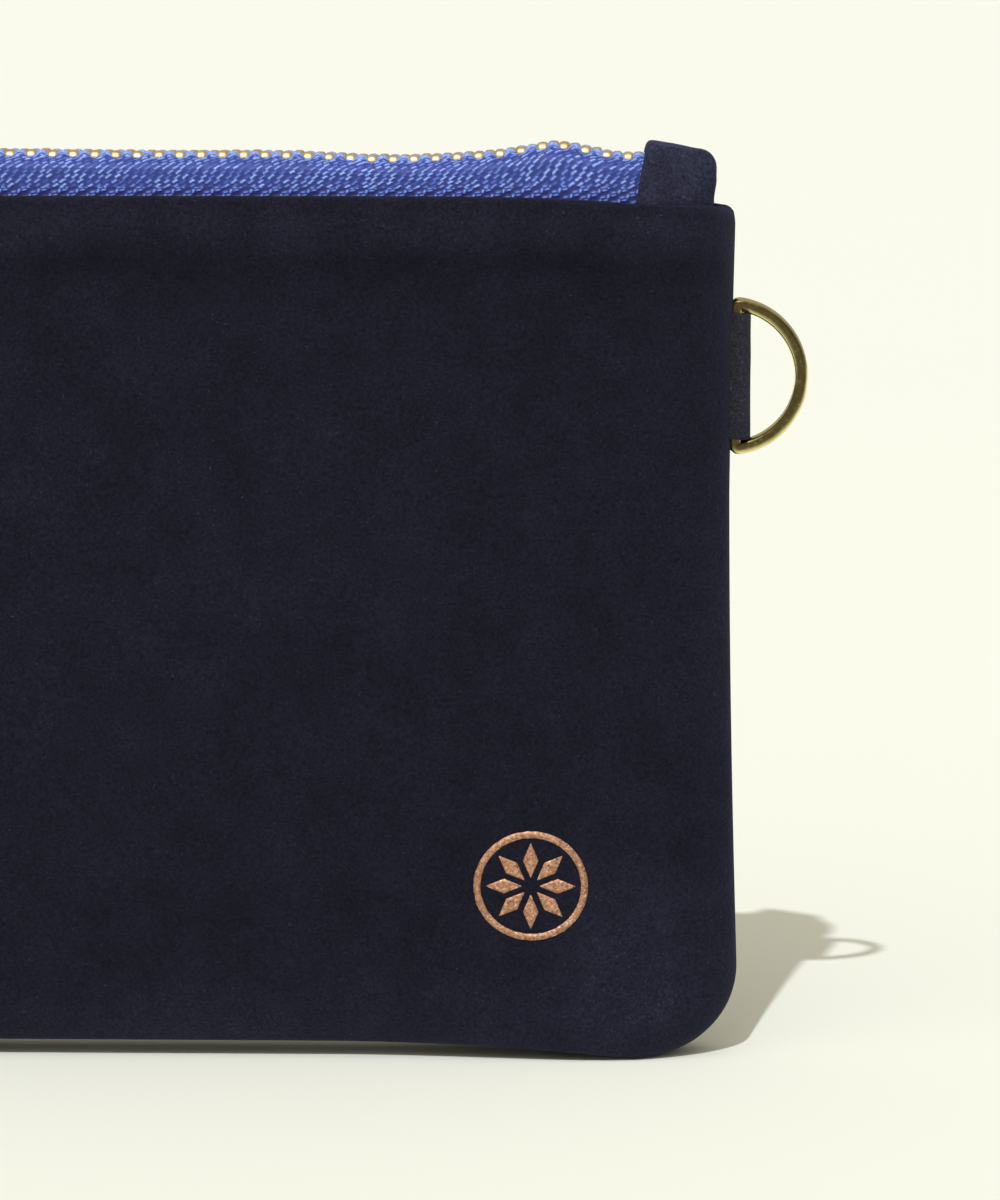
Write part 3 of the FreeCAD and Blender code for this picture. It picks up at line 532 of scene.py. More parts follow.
def thread():
    """Dark sewing thread with a fine twist."""
    made, tree, shader = new_material("thread", Roughness=0.7, Specular_IOR_Level=0.3, Sheen_Weight=0.2)
    twist = noise(tree, 0.2, 2, 0.5, (3, 1, 1))
    yarn = ramp(tree, twist, (0.35, linear(26, 27, 38)), (0.7, linear(52, 54, 70)))
    tree.links.new(yarn, shader.inputs["Base Color"])
    bump(tree, shader, (twist, 0.04))
    return made


SUEDE = suede("suede", linear(18, 18, 28), linear(25, 25, 37))
# The end tabs are the same suede as the body; this lighter copy stands in for the light on them: painted
# light.
LIT_TAB_SUEDE = suede("lit_tab_suede", linear(36, 36, 52), linear(53, 54, 76))
LOOP_LEATHER = suede("loop_leather", linear(34, 32, 40), linear(49, 46, 54))
LINING = woven_lining()
TAPE = zip_tape()
ZIP_METAL = metal("zip_metal", linear(255, 228, 168), linear(240, 176, 100), 0.36, 0.25)
SLIDER_METAL = metal("slider_metal", linear(236, 212, 150), linear(200, 164, 104), 0.2)
SPRING_STEEL = metal("spring_steel", linear(170, 170, 172), linear(120, 120, 124), 0.3)
RING_METAL = ring_metal()
FOIL = foil()
THREAD = thread()


# ---- Leather panels and lining ---------------------------------------------------------

COLUMNS, CORNER_ROWS, MIDDLE_ROWS, TOP_ROWS = 261, 24, 82, 40
FOLD_RISE = 0.9  # height of the rolled top edge
FOLD_STEPS, HEM_STEPS, GROOVE_STEPS = 7, 8, 3
TAB_TIP = 2.6  # half width of an end tab at its outer edge
TAB_STRAIGHT = 2.0  # length of an end tab before it narrows
DENSE_BAND = 13.5  # below the top, where rows lie closer together
HEM_DRAWN_IN = 0.5  # how much narrower the hem's inner side is at each end
EVEN_SHARE = 0.55  # the rest of the columns' spacing draws them towards the sides


def outline_levels(low, radius, top):
    """Row heights: even steps of angle round the lower corner, then even steps, closer below the rim."""
    turn = np.linspace(0, np.pi / 2, CORNER_ROWS, endpoint=False)
    corner = low + radius * (1 - np.cos(turn))
    dense = top - DENSE_BAND
    middle = np.linspace(low + radius, dense, MIDDLE_ROWS, endpoint=False)
    return np.concatenate([corner, middle, np.linspace(dense, top, TOP_ROWS)])


def edge_distance(across, level):
    """Distance of a point inside the outline from the sides and the bottom."""
    beyond = np.clip(np.abs(across) - (side_edge(level) - CORNER), 0, None)
    under = np.clip(CORNER - level, 0, None)
    return np.where((beyond > 0) | (under > 0), CORNER - np.hypot(beyond, under),
                    np.minimum(side_edge(level) - np.abs(across), level))


def outer_depth(across, level, seed):
    """Distance of the finished outer leather from the middle plane."""
    return surface_depth(across, level) + leather_relief(across, level, seed)


def hem_inside(across, outer):
    """Distance of the hem's inner side from the middle plane, with room for the end tabs."""
    reach = np.abs(across)
    taper = (reach - TAB_LOW[0] - TAB_STRAIGHT) / (TAB_HIGH[0] - TAB_LOW[0] - TAB_STRAIGHT)
    tab = TAB_HIGH[1] + (TAB_TIP - TAB_HIGH[1]) * np.clip(taper, 0, 1) + 0.05
    free = outer - 2 * LEATHER
    beside_tab = (reach > TAB_LOW[0] - 0.5) & (reach < TAB_HIGH[0] + 0.1)
    free = np.where(beside_tab, np.maximum(free, tab), free)
    closing = smooth(reach, TAB_HIGH[0] + 0.1, TAB_HIGH[0] + 0.9)
    return np.clip(free * (1 - closing), 0, np.maximum(outer - 0.5, 0))


def cavity_depth(across, level, outer):
    """Distance of the leather's inner side from the middle plane."""
    return np.clip(outer - LEATHER, 0, None) * smooth(edge_distance(across, level), SIDE_TURN, 9)


def seam_rows(points, inward):
    """Rows that turn from the outline, at full seam thickness, round to the middle plane."""
    made = []
    for turn in np.linspace(0, np.pi / 2, GROOVE_STEPS + 1)[1:]:
        shift = inward * SEAM_ROUND * (1 - np.cos(turn))
        made.append(np.stack([points[:, 0] + shift[:, 0], points[:, 1] * (1 - np.sin(turn)),
                              points[:, 2] + shift[:, 1]], -1))
    return made


def leather_looks(across, level, seed):
    """Lighter nap: worn at the edges and the lower corners, lighter towards the bottom, and painted light on
    the
    band under the rim. Darker nap: painted shade in the crease under the hem.
    """
    corner = ridge(np.abs(across), 1.0, 64, 9) * ridge(level, 1.0, 13, 9)
    patchy = 0.24 + 0.16 * waves(across, level, 24, seed + 6)
    at_edge = 0.26 * np.exp(-edge_distance(across, level) / 2.0)
    # The band under the rim is painted light, as it faces up to the lamp. The edges and lower corners are
    # worn lighter, and the nap is lighter towards the bottom.
    wear_and_painted_light = patchy * ridge(level - HEIGHT, 1.0, -2.9, 2.6) + at_edge + 0.32 * (1 - smooth(level, 0, 16)) \
        + 0.45 * corner + 0.05 * waves(across, level, 26, seed + 5)
    # Painted shade in the crease under the hem.
    crease = HEIGHT - HEM - 0.6 + 0.5 * waves(across, 0 * level, 30, seed)
    crease_strength = 0.65 + 0.35 * waves(across, level, 22, seed + 1)
    painted_crease_shade = crease_strength * ridge(level - crease, 1.0, 0.0, 1.7)
    return {"wear_and_painted_light": np.clip(wear_and_painted_light, 0, 1), "painted_crease_shade": np.clip(painted_crease_shade, 0, 1)}


def make_panel(side, seed):
    """One leather half: the outer skin, the rolled top edge, the hem folded inside, the inner side, and the
    edge that turns into the side and bottom seam. One closed mesh."""
    even = np.linspace(-1, 1, COLUMNS)
    shares = EVEN_SHARE * even + (1 - EVEN_SHARE) * np.sin(even * np.pi / 2)
    levels = outline_levels(0, CORNER, HEIGHT - FOLD_RISE)
    rows = len(levels)
    across = inset_width(levels, 0)[:, None] * shares
    up = np.broadcast_to(levels[:, None], across.shape)
    outer = np.stack([across, outer_depth(across, up, seed), up], axis=-1)

    rim = outer[-1]
    inner_rim = hem_inside(rim[:, 0], rim[:, 1])
    middle, reach = (rim[:, 1] + inner_rim) / 2, (rim[:, 1] - inner_rim) / 2
    folded = []
    for turn in np.linspace(0, np.pi, FOLD_STEPS + 2)[1:]:
        drawn_in = (HALF_WIDTH - HEM_DRAWN_IN * turn / np.pi) * shares
        level = rim[:, 2] + FOLD_RISE * np.sin(turn)
        folded.append(np.stack([drawn_in, middle + reach * np.cos(turn), level], -1))
    hem_low = HEIGHT - HEM
    for level in np.linspace(HEIGHT - FOLD_RISE, hem_low, HEM_STEPS + 1)[1:]:
        drawn_in = inset_width(level, HEM_DRAWN_IN) * shares
        folded.append(np.stack([drawn_in, inner_rim, np.full(COLUMNS, level)], -1))

    inner_levels = outline_levels(SIDE_TURN, CORNER - SIDE_TURN, hem_low - 0.2)
    inner_across = inset_width(inner_levels, SIDE_TURN)[:, None] * shares
    inner_up = np.broadcast_to(inner_levels[:, None], inner_across.shape)
    cavity = cavity_depth(inner_across, inner_up, surface_depth(inner_across, inner_up))
    inner = np.stack([inner_across, cavity, inner_up], axis=-1)

    upward = np.tile([0.0, 1.0], (COLUMNS, 1))
    bottom = seam_rows(outer[0], upward)
    loop = np.concatenate([outer, np.array(folded), inner[::-1], np.array(bottom[::-1])])
    total_rows = len(loop)
    faces = grid_quads(total_rows, COLUMNS, wrap_rows=True)
    points = [loop.reshape(-1, 3)]
    count = total_rows * COLUMNS
    index = np.arange(count).reshape(total_rows, COLUMNS)
    first_inner = rows + len(folded)
    for column, sign in ((0, 1), (COLUMNS - 1, -1)):
        edge_points = outer[:, column]
        under = np.clip(CORNER - levels, 0, None)
        slant = np.stack([sign * np.sqrt(CORNER**2 - under**2), under], -1) / CORNER
        side_rows = seam_rows(edge_points[1:], slant[1:])
        chains = [index[:rows, column]]
        for step, made in enumerate(side_rows):
            lowest = index[total_rows - 1 - step, column]
            chains.append(np.concatenate([[lowest], count + np.arange(rows - 1)]))
            points.append(made)
            count += rows - 1
        chains.append(index[first_inner:first_inner + rows, column][::-1])
        for left, right in zip(chains[:-1], chains[1:]):
            for row in range(rows - 1):
                faces.append((left[row], right[row], right[row + 1], left[row + 1]))
        faces.append([chain[-1] for chain in chains[::-1]][:-1] + list(index[rows - 1:first_inner, column]))
    points = np.vstack(points)
    looks = leather_looks(points[:, 0], points[:, 2], seed)
    points[:, 2] += droop(points[:, 0], points[:, 2])
    points[:, 1] *= SIDES[side]
    piece = mesh_piece(f"{side}_leather", points, faces, SUEDE, looks)
    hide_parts(f"{side}_panel")
    bend_with_mouth(piece)


LINING_CLOTH = 0.4  # thickness
LINING_INSET = 3.0  # how far inside the outline the bag ends
LINING_TOP = 98.3
NECK_START, NECK_END = 84, 91  # heights between which the bag's depth changes to that at the zip
NECK_WIDTH, NECK_DEPTH = 66.9, 5.2  # half width and half depth above them


def make_lining(side):
    """One half of the lining bag: it follows the leather's inner side and draws in at the zip."""
    shares = np.linspace(-1, 1, 121)
    low, corner = LINING_INSET + 0.1, CORNER - LINING_INSET - 0.4
    levels = np.concatenate([outline_levels(low, corner, NECK_START)[::2], np.linspace(85, LINING_TOP, 16)])
    neck = smooth(levels, NECK_START, NECK_END)
    width = np.where(levels > NECK_END, NECK_WIDTH, inset_width(np.minimum(levels, 90), LINING_INSET))
    across = width[:, None] * shares
    up = np.broadcast_to(levels[:, None], across.shape)
    bag = cavity_depth(across, np.minimum(up, 90), surface_depth(across, up)) - 0.25
    at_zip = NECK_DEPTH * np.sqrt(1 - np.abs(shares) ** 14) * np.ones_like(up)
    outward = np.clip(bag * (1 - neck[:, None]) + at_zip * neck[:, None], 0.45, None)
    outer = np.stack([across, outward, up], axis=-1)
    inner = outer - (0, LINING_CLOTH, 0)
    points, faces = shell_between(outer, inner)
    points[:, 2] += droop(points[:, 0], points[:, 2])
    points[:, 1] *= SIDES[side]
    piece = mesh_piece(f"{side}_lining", points, faces, LINING)
    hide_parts(f"lining_{side}")
    bend_with_mouth(piece)


def make_seam_thread():
    """The thread inside the side and bottom seam."""
    inset, top, radius = 1.75, 91.0, 0.22
    levels = outline_levels(inset, CORNER - inset, top)
    right = np.stack([inset_width(levels, inset), 0 * levels, levels], -1)
    across = np.linspace(-right[0, 0], right[0, 0], 90)[1:-1]
    bottom = np.stack([across, 0 * across, np.full(len(across), inset)], -1)
    path = np.concatenate([right[::-1] * (-1, 1, 1), bottom, right])
    path[:, 2] += droop(path[:, 0], path[:, 2])
    points, faces = tube(path[:, [0, 2, 1]], radius, 8)
    piece = mesh_piece("seam_thread", points[:, [0, 2, 1]], faces, THREAD)
    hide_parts("body_seam_thread")
    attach(piece, "body")


# ---- Zip: tapes, cords, teeth and stops ------------------------------------------------

TOOTH_LINE = FIRST_TOOTH + PITCH * np.arange(TOOTH_COUNT)
ROW_SHIFT = {"front": 0.0, "back": PITCH / 2}
GRAIN_ROW, GRAIN_PITCH, GRAIN_THIN = 0.56, 0.98, 0.16  # row height, spacing and half thickness of the grains
ROW_STEP, ROW_JITTER = 0.8, 0.55  # shift of a row of grains, and its random part, in grains
BAR_PITCH, BAR_THIN = 2.2, 0.17  # spacing and half thickness of the upright bars
PLAIN_START = 5.95  # where the plain knitted rows begin, down the tape


# A tooth from its cord side to its head: place from the middle plane, half width, half height
TOOTH_STATIONS = (
    (-3.1, 0.36, 0.5), (-3.03, 0.52, 0.74), (-2.85, 0.63, 0.95), (-2.5, 0.70, 1.08), (-2.0, 0.72, 1.14),
    (-1.4, 0.72, 1.16), (-1.0, 0.68, 1.16), (-0.7, 0.58, 1.14), (0.2, 0.54, 1.12), (0.6, 0.50, 1.02),
    (0.85, 0.40, 0.78), (0.95, 0.24, 0.45),
)


def tooth_phase(across, side):
    """0 at the middle of a tooth of this row, 1 midway between two."""
    turn = (across - FIRST_TOOTH - ROW_SHIFT[side]) / PITCH
    return (1 - np.cos(2 * np.pi * turn)) / 2


def scatter(first, second):
    """A fixed pseudo-random value from 0 to 1 for each pair of whole numbers."""
    return np.sin(first * 12.9898 + second * 78.233) * 43758.5453 % 1


def knit(across, run):
    """Height of the tape's yarns, 0 to 1. The run goes down the tape from its cord edge. Slanting grains
    lie in rows, and two plain knitted rows close the visible band at the hem."""
    row = np.floor(run / GRAIN_ROW)
    height = (run / GRAIN_ROW - row - 0.5) * GRAIN_ROW
    shifted = across / GRAIN_PITCH + ROW_STEP * row + ROW_JITTER * scatter(row, 3.0)
    turn = shifted + 0.10 * waves(across, run, 6.0, 83)
    cell = np.floor(turn)
    chance, strength = scatter(cell, row), scatter(row, cell)
    along = (turn - cell - 0.5 + 0.26 * (chance - 0.5)) * GRAIN_PITCH
    bend = (0.20 + 0.42 * chance) * along + 0.06 * np.sin(along * 7.5) + 0.16 * (strength - 0.5)
    grain = np.exp(-((along / (0.33 + 0.12 * chance)) ** 4)) * ridge(height + bend, 1.0, 0.0, GRAIN_THIN)
    grain *= 0.3 + 0.95 * strength
    bar_turn = across / BAR_PITCH + 0.5 * (row % 2)
    bar = np.floor(bar_turn)
    from_bar = (bar_turn - bar - 0.5) * BAR_PITCH + 0.25 * (scatter(bar, row) - 0.5)
    bars = ridge(from_bar + 0.3 * height, 1.0, 0.0, BAR_THIN) * np.exp(-((height / 0.26) ** 4))
    slanted = ridge(height + 0.2 * from_bar, 1.0, 0.0, 0.12)
    dash = np.exp(-(((np.abs(from_bar) - 0.62) / 0.34) ** 4)) * slanted
    plain = smooth(run, PLAIN_START - 0.05, PLAIN_START + 0.1)
    return grain * (1 - plain) + np.maximum(bars, 0.85 * dash) * plain


def make_tape(side):
    """A knitted tape: flat beside the cord, round the bend and down into the hem, with real relief."""
    flat_start, flat_end, bend, hem = 2.55, 4.5, 1.45, 98.6
    flat_rows, bend_rows, seen_rows, hidden_rows, columns = 16, 22, 44, 8, 1061
    down_rows = seen_rows + hidden_rows
    top = CHAIN + TAPE_THICK / 2
    flat = np.linspace(flat_start, flat_end, flat_rows, endpoint=False)
    turn = np.linspace(0, np.pi / 2, bend_rows, endpoint=False)
    seen = np.linspace(top - bend, hem, seen_rows, endpoint=False)
    hidden = np.linspace(hem, TAPE_LOW[2], hidden_rows)
    depth = np.concatenate([flat, flat_end + bend * np.sin(turn), np.full(down_rows, TAPE_OUTER)])
    level = np.concatenate([np.full(flat_rows, top), top - bend * (1 - np.cos(turn)), seen, hidden])
    normal_y = np.concatenate([np.zeros(flat_rows), np.sin(turn), np.ones(down_rows)])
    normal_z = np.concatenate([np.ones(flat_rows), np.cos(turn), np.zeros(down_rows)])
    run = np.concatenate([[0], np.cumsum(np.hypot(np.diff(depth), np.diff(level)))])
    across = np.linspace(TAPE_LOW[0], TAPE_HIGH[0], columns)
    grid_x, grid_run = np.meshgrid(across, run)
    crest = knit(grid_x, grid_run)
    pillow = ridge(grid_run, 1.0, 0.9, 0.95) * tooth_phase(grid_x, side) ** 1.4
    visible = 1 - smooth(grid_run, 8.0, 8.8)
    curls = waves(grid_x, grid_run, 0.62, 57, 30)
    yarns = (0.17 * crest - 0.12) * visible * (1 - 0.5 * smooth(pillow, 0.2, 0.7))
    uneven = 0.05 * waves(grid_x, grid_run, 9, 31) * visible * smooth(grid_run, 1.5, 3)
    relief = yarns + 0.50 * pillow + ridge(grid_run, 0.28, 0.0, 1.3) \
        + 0.05 * curls * smooth(pillow, 0.05, 0.5) + uneven
    wave = chain_wave(grid_x) * (1 - smooth(grid_run, 2.5, 7.5))
    outer = np.stack([grid_x, depth[:, None] + relief * normal_y[:, None],
                      level[:, None] + relief * normal_z[:, None] + wave], axis=-1)
    inner = np.stack([grid_x, np.broadcast_to((depth - TAPE_THICK * normal_y)[:, None], grid_x.shape),
                      (level - TAPE_THICK * normal_z)[:, None] + wave], axis=-1)
    points, faces = shell_between(outer, inner)
    # Painted light on the yarn crests and on the pillows of cord between the teeth, and a darker tone
    # further down the tape.
    tone = 0.12 + 0.88 * crest + (0.30 + 0.22 * curls) * pillow - 0.12 * smooth(grid_run, 5.6, 6.6)
    inner_tone = np.full(grid_x.size, 0.3)
    painted_crest_light = np.concatenate([np.clip(tone, 0, 1).ravel(), inner_tone])
    points[:, 1] *= SIDES[side]
    piece = mesh_piece(f"{side}_tape", points, faces, TAPE, {"crest": painted_crest_light})
    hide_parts(f"zipper_tape_{side}")
    bend_with_mouth(piece)


def make_cord(side):
    """The bead cord, which swells between the teeth that pinch it."""
    stations, sides, radius = 900, 14, 0.6
    across = np.linspace(TAPE_LOW[0], TAPE_HIGH[0], stations)
    swell = tooth_phase(across, side) ** 1.3
    path = np.stack([across, np.full(stations, CORD_AT), CHAIN + chain_wave(across) + 0.12 * swell], -1)
    points, faces = tube(path, radius + 0.42 * swell, sides)
    # Painted light on the cord's swells between the teeth.
    twist = 0.75 + 0.25 * np.sin(points[:, 0] * 17 + points[:, 2] * 9)
    crest = np.clip(0.35 + 0.6 * np.repeat(swell, sides) * twist, 0, 1)
    points[:, 1] *= SIDES[side]
    piece = mesh_piece(f"{side}_cord", points, faces, TAPE, {"crest": crest})
    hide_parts(f"bead_cord_{side}")
    bend_with_mouth(piece)


def tooth_shell():
    """One tooth of the front row, at the origin: rounded legs on the cord side and a narrower round head."""
    sides, power = 20, 0.62
    turn = 2 * np.pi * (np.arange(sides) + 0.5) / sides
    ring_x = np.sign(np.cos(turn)) * np.abs(np.cos(turn)) ** power
    ring_z = np.sign(np.sin(turn)) * np.abs(np.sin(turn)) ** power
    rings = [np.stack([wide * ring_x, np.full(sides, at), tall * ring_z], -1)
             for at, wide, tall in TOOTH_STATIONS]
    points = np.vstack(rings)
    faces = []
    for ring in range(len(rings) - 1):
        for step in range(sides):
            beside = (step + 1) % sides
            faces.append((ring * sides + step, ring * sides + beside,
                          (ring + 1) * sides + beside, (ring + 1) * sides + step))
    faces.append(tuple(range(sides))[::-1])
    faces.append(tuple(range((len(rings) - 1) * sides, len(rings) * sides)))
    return points, faces


def make_teeth(side):
    """One row of separate teeth."""
    points, faces = tooth_shell()
    random = np.random.default_rng(60 + SIDES[side])
    shells, shares = [], []
    for across in TOOTH_LINE + ROW_SHIFT[side]:
        lean = random.normal(0, 0.03)
        placed = points.copy()
        placed[:, 0] += lean * placed[:, 2]
        placed += (across, 0, CHAIN + float(chain_wave(np.array(across))) + random.normal(0, 0.03))
        shells.append((placed, faces))
        shares += [float(opening_share(across, HEIGHT))] * len(points)
    points, faces = joined(shells)
    points[:, 1] *= -SIDES[side]
    piece = mesh_piece(f"{side}_teeth", points, faces, ZIP_METAL)
    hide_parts(f"teeth_{side}")
    bend_with_mouth(piece)


def make_zip_stitches(side):
    """The short stitches that hold hem, tape and lining together."""
    pitch, long = 3.0, 2.5
    count = int(round((STITCH_HIGH[0] - STITCH_LOW[0] - long) / pitch)) + 1
    at, level = abs(STITCH_LOW[1] + STITCH_HIGH[1]) / 2, (STITCH_LOW[2] + STITCH_HIGH[2]) / 2
    bow = np.linspace(-1, 1, 9)
    shells, shares = [], []
    for index in range(count):
        middle = STITCH_LOW[0] + long / 2 + index * pitch
        path = np.stack([middle + bow * long / 2, at - 0.25 * (1 - bow**2), np.full(len(bow), level)], -1)
        shell = tube(path, 0.25 * np.sqrt(1 - 0.9 * bow**8), 8)
        shells.append(shell)
        shares += [float(opening_share(middle, HEIGHT))] * len(shell[0])
    points, faces = joined(shells)
    points[:, 1] *= SIDES[side]
    piece = mesh_piece(f"{side}_zip_stitches", points, faces, THREAD)
    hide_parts(f"zip_seam_thread_{side}")
    bend_with_mouth(piece)


# ---- Tabs, loop, ring, slider and emblem -----------------------------------------------


def bevelled(node, material, body, width):
    """A metal piece from CAD with its edges broken."""
    piece = copy_of(node, material)
    bevel = piece.modifiers.new("bevel", "BEVEL")
    bevel.width = width * MM
    bevel.segments = 3
    bevel.limit_method = "ANGLE"
    bevel.angle_limit = math.radians(32)
    weighted = piece.modifiers.new("weighted", "WEIGHTED_NORMAL")
    weighted.keep_sharp = True
    piece.data.polygons.foreach_set("use_smooth", [True] * len(piece.data.polygons))
    apply_modifiers(piece)
    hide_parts(node)
    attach(piece, body)
    return piece


def softened(node, material, voxel, rounds, seed):
    """A leather piece from CAD, remeshed, with soft edges and a little unevenness."""
    piece = copy_of(node, material)
    remesh = piece.modifiers.new("remesh", "REMESH")
    remesh.mode = "VOXEL"
    remesh.voxel_size = voxel * MM
    soft = piece.modifiers.new("soft", "SMOOTH")
    soft.factor = 0.5
    soft.iterations = rounds
    apply_modifiers(piece)
    piece.data.polygons.foreach_set("use_smooth", [True] * len(piece.data.polygons))
    points = points_of(piece)
    random = np.random.default_rng(seed)
    for axis in range(3):
        shifts = random.uniform(0, 9, 2)
        first = points[:, (axis + 1) % 3] + shifts[0]
        second = points[:, (axis + 2) % 3] + shifts[1]
        points[:, axis] += 0.06 * waves(first, second, 4.0, seed + axis)
    move_points(piece, points)
    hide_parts(node)
    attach(piece, "body")
    return piece


def make_tab(node, sign):
    """An end tab: its inner edge leans outwards and its top falls towards the side."""
    piece = softened(node, LIT_TAB_SUEDE, 0.22, 7, 40 + sign)
    points = points_of(piece)
    lean = 0.35
    outward = (points[:, 0] * sign - TAB_LOW[0]) / (TAB_HIGH[0] - TAB_LOW[0])
    rise = np.clip((points[:, 2] - HEIGHT) / (TAB_HIGH[2] - HEIGHT), 0, 1)
    points[:, 0] += sign * lean * (rise - 0.5) * smooth(1 - outward, 0.2, 1)
    points[:, 0] -= sign * lean * smooth(1 - rise, 0.6, 1) * smooth(outward, 0.6, 1)
    points[:, 2] -= lean * np.clip(outward, 0, 1) * rise
    move_points(piece, points)


def make_loop():
    """The leather loop, which fills the ring from side to side."""
    piece = softened("ring_loop", LOOP_LEATHER, 0.16, 5, 50)
    points = points_of(piece)
    low, high = box_mm("ring_loop")
    middle = (low[2] + high[2]) / 2
    wider = 1.035
    points[:, 2] = middle + (points[:, 2] - middle) * wider
    move_points(piece, points)


def make_ring():
    """The D-ring: a wire with flattened faces, bent into a bow and closed by its straight bar."""
    low, high = box_mm("d_ring")
    wire = high[1]
    bar, level = low[0] + wire, (low[2] + high[2]) / 2
    mean = 8.3  # half length of the bar, to the middle of the wire
    depth = high[0] - wire - bar
    radius = (mean**2 + depth**2) / (2 * depth)
    centre = bar + depth - radius
    start = math.atan2(-mean, bar - centre)
    turn = np.linspace(start, -start, 110)
    bow = np.stack([centre + radius * np.cos(turn), 0 * turn, level + radius * np.sin(turn)], -1)
    climb = np.linspace(mean, -mean, 46)[1:-1]
    straight = np.stack([np.full(len(climb), bar), 0 * climb, level + climb], -1)
    path = np.concatenate([bow, straight])
    for _ in range(3):
        path = (np.roll(path, 1, 0) + 2 * path + np.roll(path, -1, 0)) / 4
    points, faces = tube(path[:, [0, 2, 1]], wire * 0.98, 32, closed=True, power=0.62)
    # Painted dark reflection on the flat faces that face front and back; the bevelled edges get the painted
    # highlight.
    painted_dark_reflection = smooth(np.abs(points[:, 2]) / wire, 0.72, 0.95)
    piece = mesh_piece("ring_wire", points[:, [0, 2, 1]], faces, RING_METAL, {"painted_dark_reflection": painted_dark_reflection})
    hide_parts("d_ring")
    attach(piece, "ring")


def on_front(across, level, lift):
    """Points a little above the front leather."""
    depth = outer_depth(across, level, PANEL_SEED["front"]) + lift
    return np.stack([across, -depth, level + droop(across, level)], axis=-1)


def make_emblem():
    """The foil rosette, laid on the leather's real surface: a ring round eight rhombs."""
    centre = (FOIL_LOW + FOIL_HIGH) / 2
    radius = (FOIL_HIGH[0] - FOIL_LOW[0]) / 2
    lift, sink = 0.05, -0.04
    turn = np.linspace(0, 2 * np.pi, 161)
    off_joint = np.sin(turn / 2) ** 0.2  # nothing where the ring's start and end meet
    rough = 0.035 * waves(3 * np.cos(turn), 3 * np.sin(turn), 0.5, 71) * off_joint
    reach = np.stack([radius - 0.8 + rough, radius - 0.4 + 0 * rough, radius - rough])
    flat_x, flat_z = centre[0] + reach * np.cos(turn), centre[2] + reach * np.sin(turn)
    shells = [shell_between(on_front(flat_x, flat_z, lift), on_front(flat_x, flat_z, sink))]
    along = np.linspace(0.16, 0.78, 15)
    half = 0.13 * (1 - np.abs((along - 0.47) / 0.31)) + 0.006
    for petal in range(8):
        angle = 2 * np.pi * petal / 8
        side = np.linspace(-1, 1, 5)[:, None] * half
        ahead = np.broadcast_to(along, side.shape)
        flat_x = centre[0] + radius * (ahead * np.cos(angle) - side * np.sin(angle))
        flat_z = centre[2] + radius * (ahead * np.sin(angle) + side * np.cos(angle))
        shells.append(shell_between(on_front(flat_x, flat_z, lift), on_front(flat_x, flat_z, sink)))
    points, faces = joined(shells)
    piece = mesh_piece("rosette", points, faces, FOIL)
    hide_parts("foil_emblem")
    bend_with_mouth(piece)


for side in SIDES:
    make_panel(side, PANEL_SEED[side])
    make_lining(side)
    make_tape(side)
    make_cord(side)
    make_teeth(side)
    make_zip_stitches(side)
make_seam_thread()
make_emblem()
make_tab("end_tab_right", 1)
make_tab("end_tab_left", -1)
make_loop()
make_ring()
bevelled("slider_body", SLIDER_METAL, "slider", 0.2)
bevelled("slider_crown", SLIDER_METAL, "slider", 0.18)
bevelled("lock_spring", SPRING_STEEL, "slider", 0.04)
bevelled("pull_tab", SLIDER_METAL, "pull", 0.18)
bevelled("top_stops", ZIP_METAL, "body", 0.15)
bevelled("bottom_stop", ZIP_METAL, "body", 0.15)


# ---- Floor, light and camera -----------------------------------------------------------


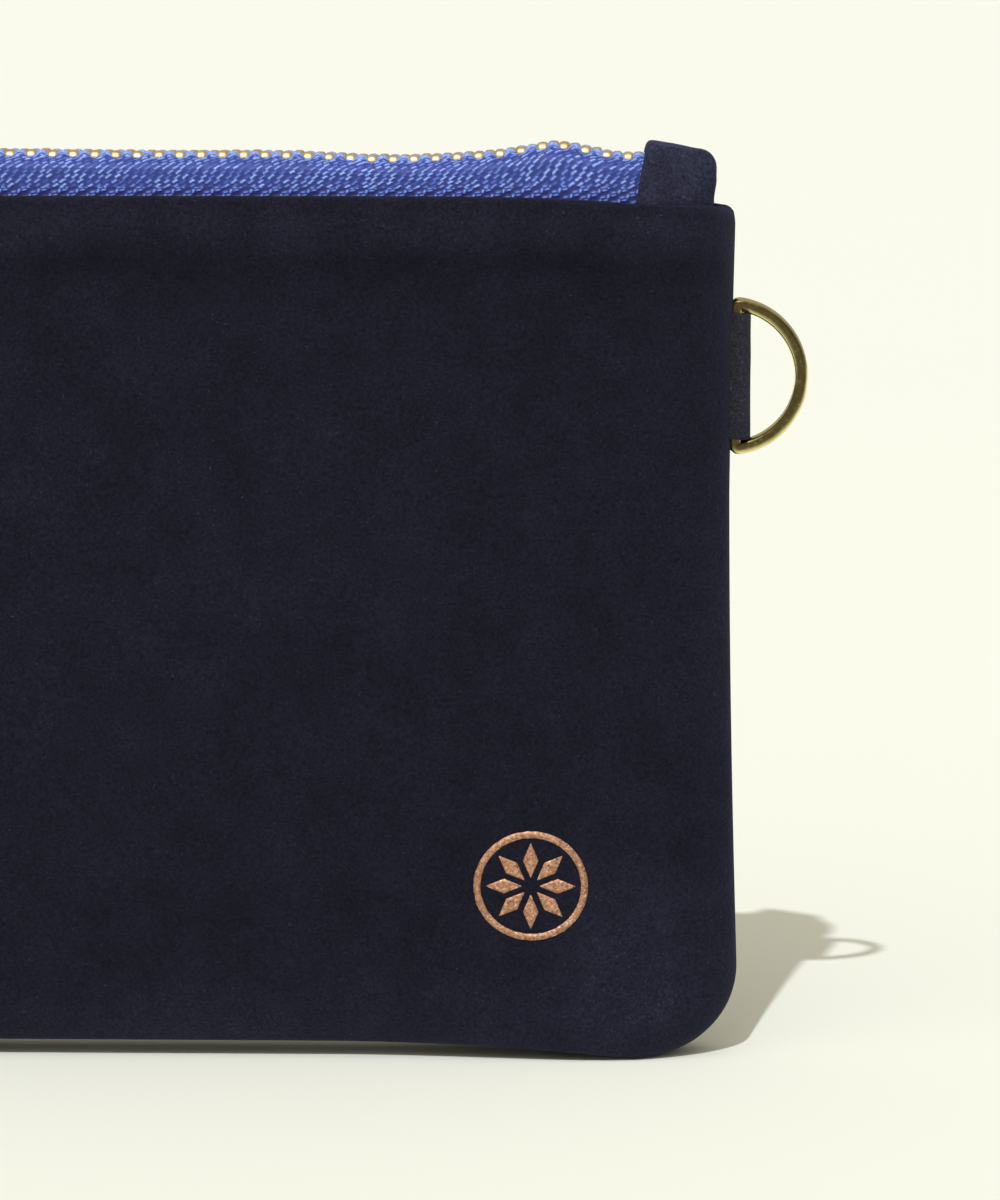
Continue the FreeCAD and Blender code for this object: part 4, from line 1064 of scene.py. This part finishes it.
def make_floor():
    """A wide pale floor, a little less yellow far away."""
    near, far = 2.0, 120.0
    corners = [(-near, -near), (near, -near), (near, near), (-near, near)]
    points = [(x, y, 0) for x, y in corners] + [(x / near * far, y / near * far, 0) for x, y in corners]
    faces = [(0, 1, 2, 3)] + [((index + 1) % 4, (index + 1) % 4 + 4, index + 4, index) for index in range(4)]
    data = bpy.data.meshes.new("floor")
    data.from_pydata(points, [], faces)
    made, tree, shader = new_material("floor", Roughness=0.9, Specular_IOR_Level=0.05)
    place = add(tree, "ShaderNodeTexCoord")
    parts = add(tree, "ShaderNodeSeparateXYZ")
    tree.links.new(place.outputs["Object"], parts.inputs["Vector"])
    spread = add(tree, "ShaderNodeMapRange", From_Min=-0.2, From_Max=1.2)
    tree.links.new(parts.outputs["Y"], spread.inputs["Value"])
    tint = ramp(tree, spread.outputs["Result"], (0.0, (0.853, 0.861, 0.742, 1)),
                (1.0, (0.847, 0.855, 0.758, 1)))
    tree.links.new(tint, shader.inputs["Base Color"])
    data.materials.append(made)
    floor = bpy.data.objects.new("floor", data)
    bpy.context.scene.collection.objects.link(floor)


def make_light():
    """A soft key from the front left above and a warm fill that is brightest overhead."""
    key = bpy.data.lights.new("key", "SUN")
    key.color = (0.86, 0.90, 1.0)
    key.energy = 2.35
    key.angle = math.radians(1.1)
    lamp = bpy.data.objects.new("key", key)
    travel = Vector((0.157, 0.777, -1.0))
    lamp.rotation_euler = travel.to_track_quat("-Z", "Y").to_euler()
    bpy.context.scene.collection.objects.link(lamp)
    world = bpy.data.worlds.new("studio")
    world.use_nodes = True
    tree = world.node_tree
    back = tree.nodes["Background"]
    place = add(tree, "ShaderNodeTexCoord")
    facing = add(tree, "ShaderNodeVectorMath", operation="DOT_PRODUCT")
    facing.inputs[1].default_value = Vector((-0.10, -0.50, 0.86)).normalized()
    tree.links.new(place.outputs["Generated"], facing.inputs[0])
    sky = ramp(tree, facing.outputs["Value"], (0.0, (0.38, 0.36, 0.32, 1)), (0.5, (0.38, 0.36, 0.32, 1)),
               (1.0, (1.15, 1.09, 0.98, 1)))
    tree.links.new(sky, back.inputs["Color"])
    bpy.context.scene.world = world


def make_camera():
    """A long lens, low and almost square to the front, aimed at the right half of the pouch."""
    azimuth, elevation, distance = math.radians(1.47), math.radians(7.15), 0.560
    target = Vector((47.97, 0, 53.27)) * MM
    away = Vector((math.sin(azimuth) * math.cos(elevation), -math.cos(azimuth) * math.cos(elevation),
                   math.sin(elevation)))
    lens = bpy.data.cameras.new("camera")
    lens.sensor_fit = "HORIZONTAL"
    lens.sensor_width = 36
    lens.lens = 173.7
    lens.clip_start = 0.01
    lens.clip_end = 500
    camera = bpy.data.objects.new("camera", lens)
    camera.location = target + away * distance
    camera.rotation_euler = (math.pi / 2 - elevation, 0, azimuth)
    bpy.context.scene.collection.objects.link(camera)
    bpy.context.scene.camera = camera


make_floor()
make_light()
make_camera()
bpy.context.scene.view_settings.view_transform = "Standard"
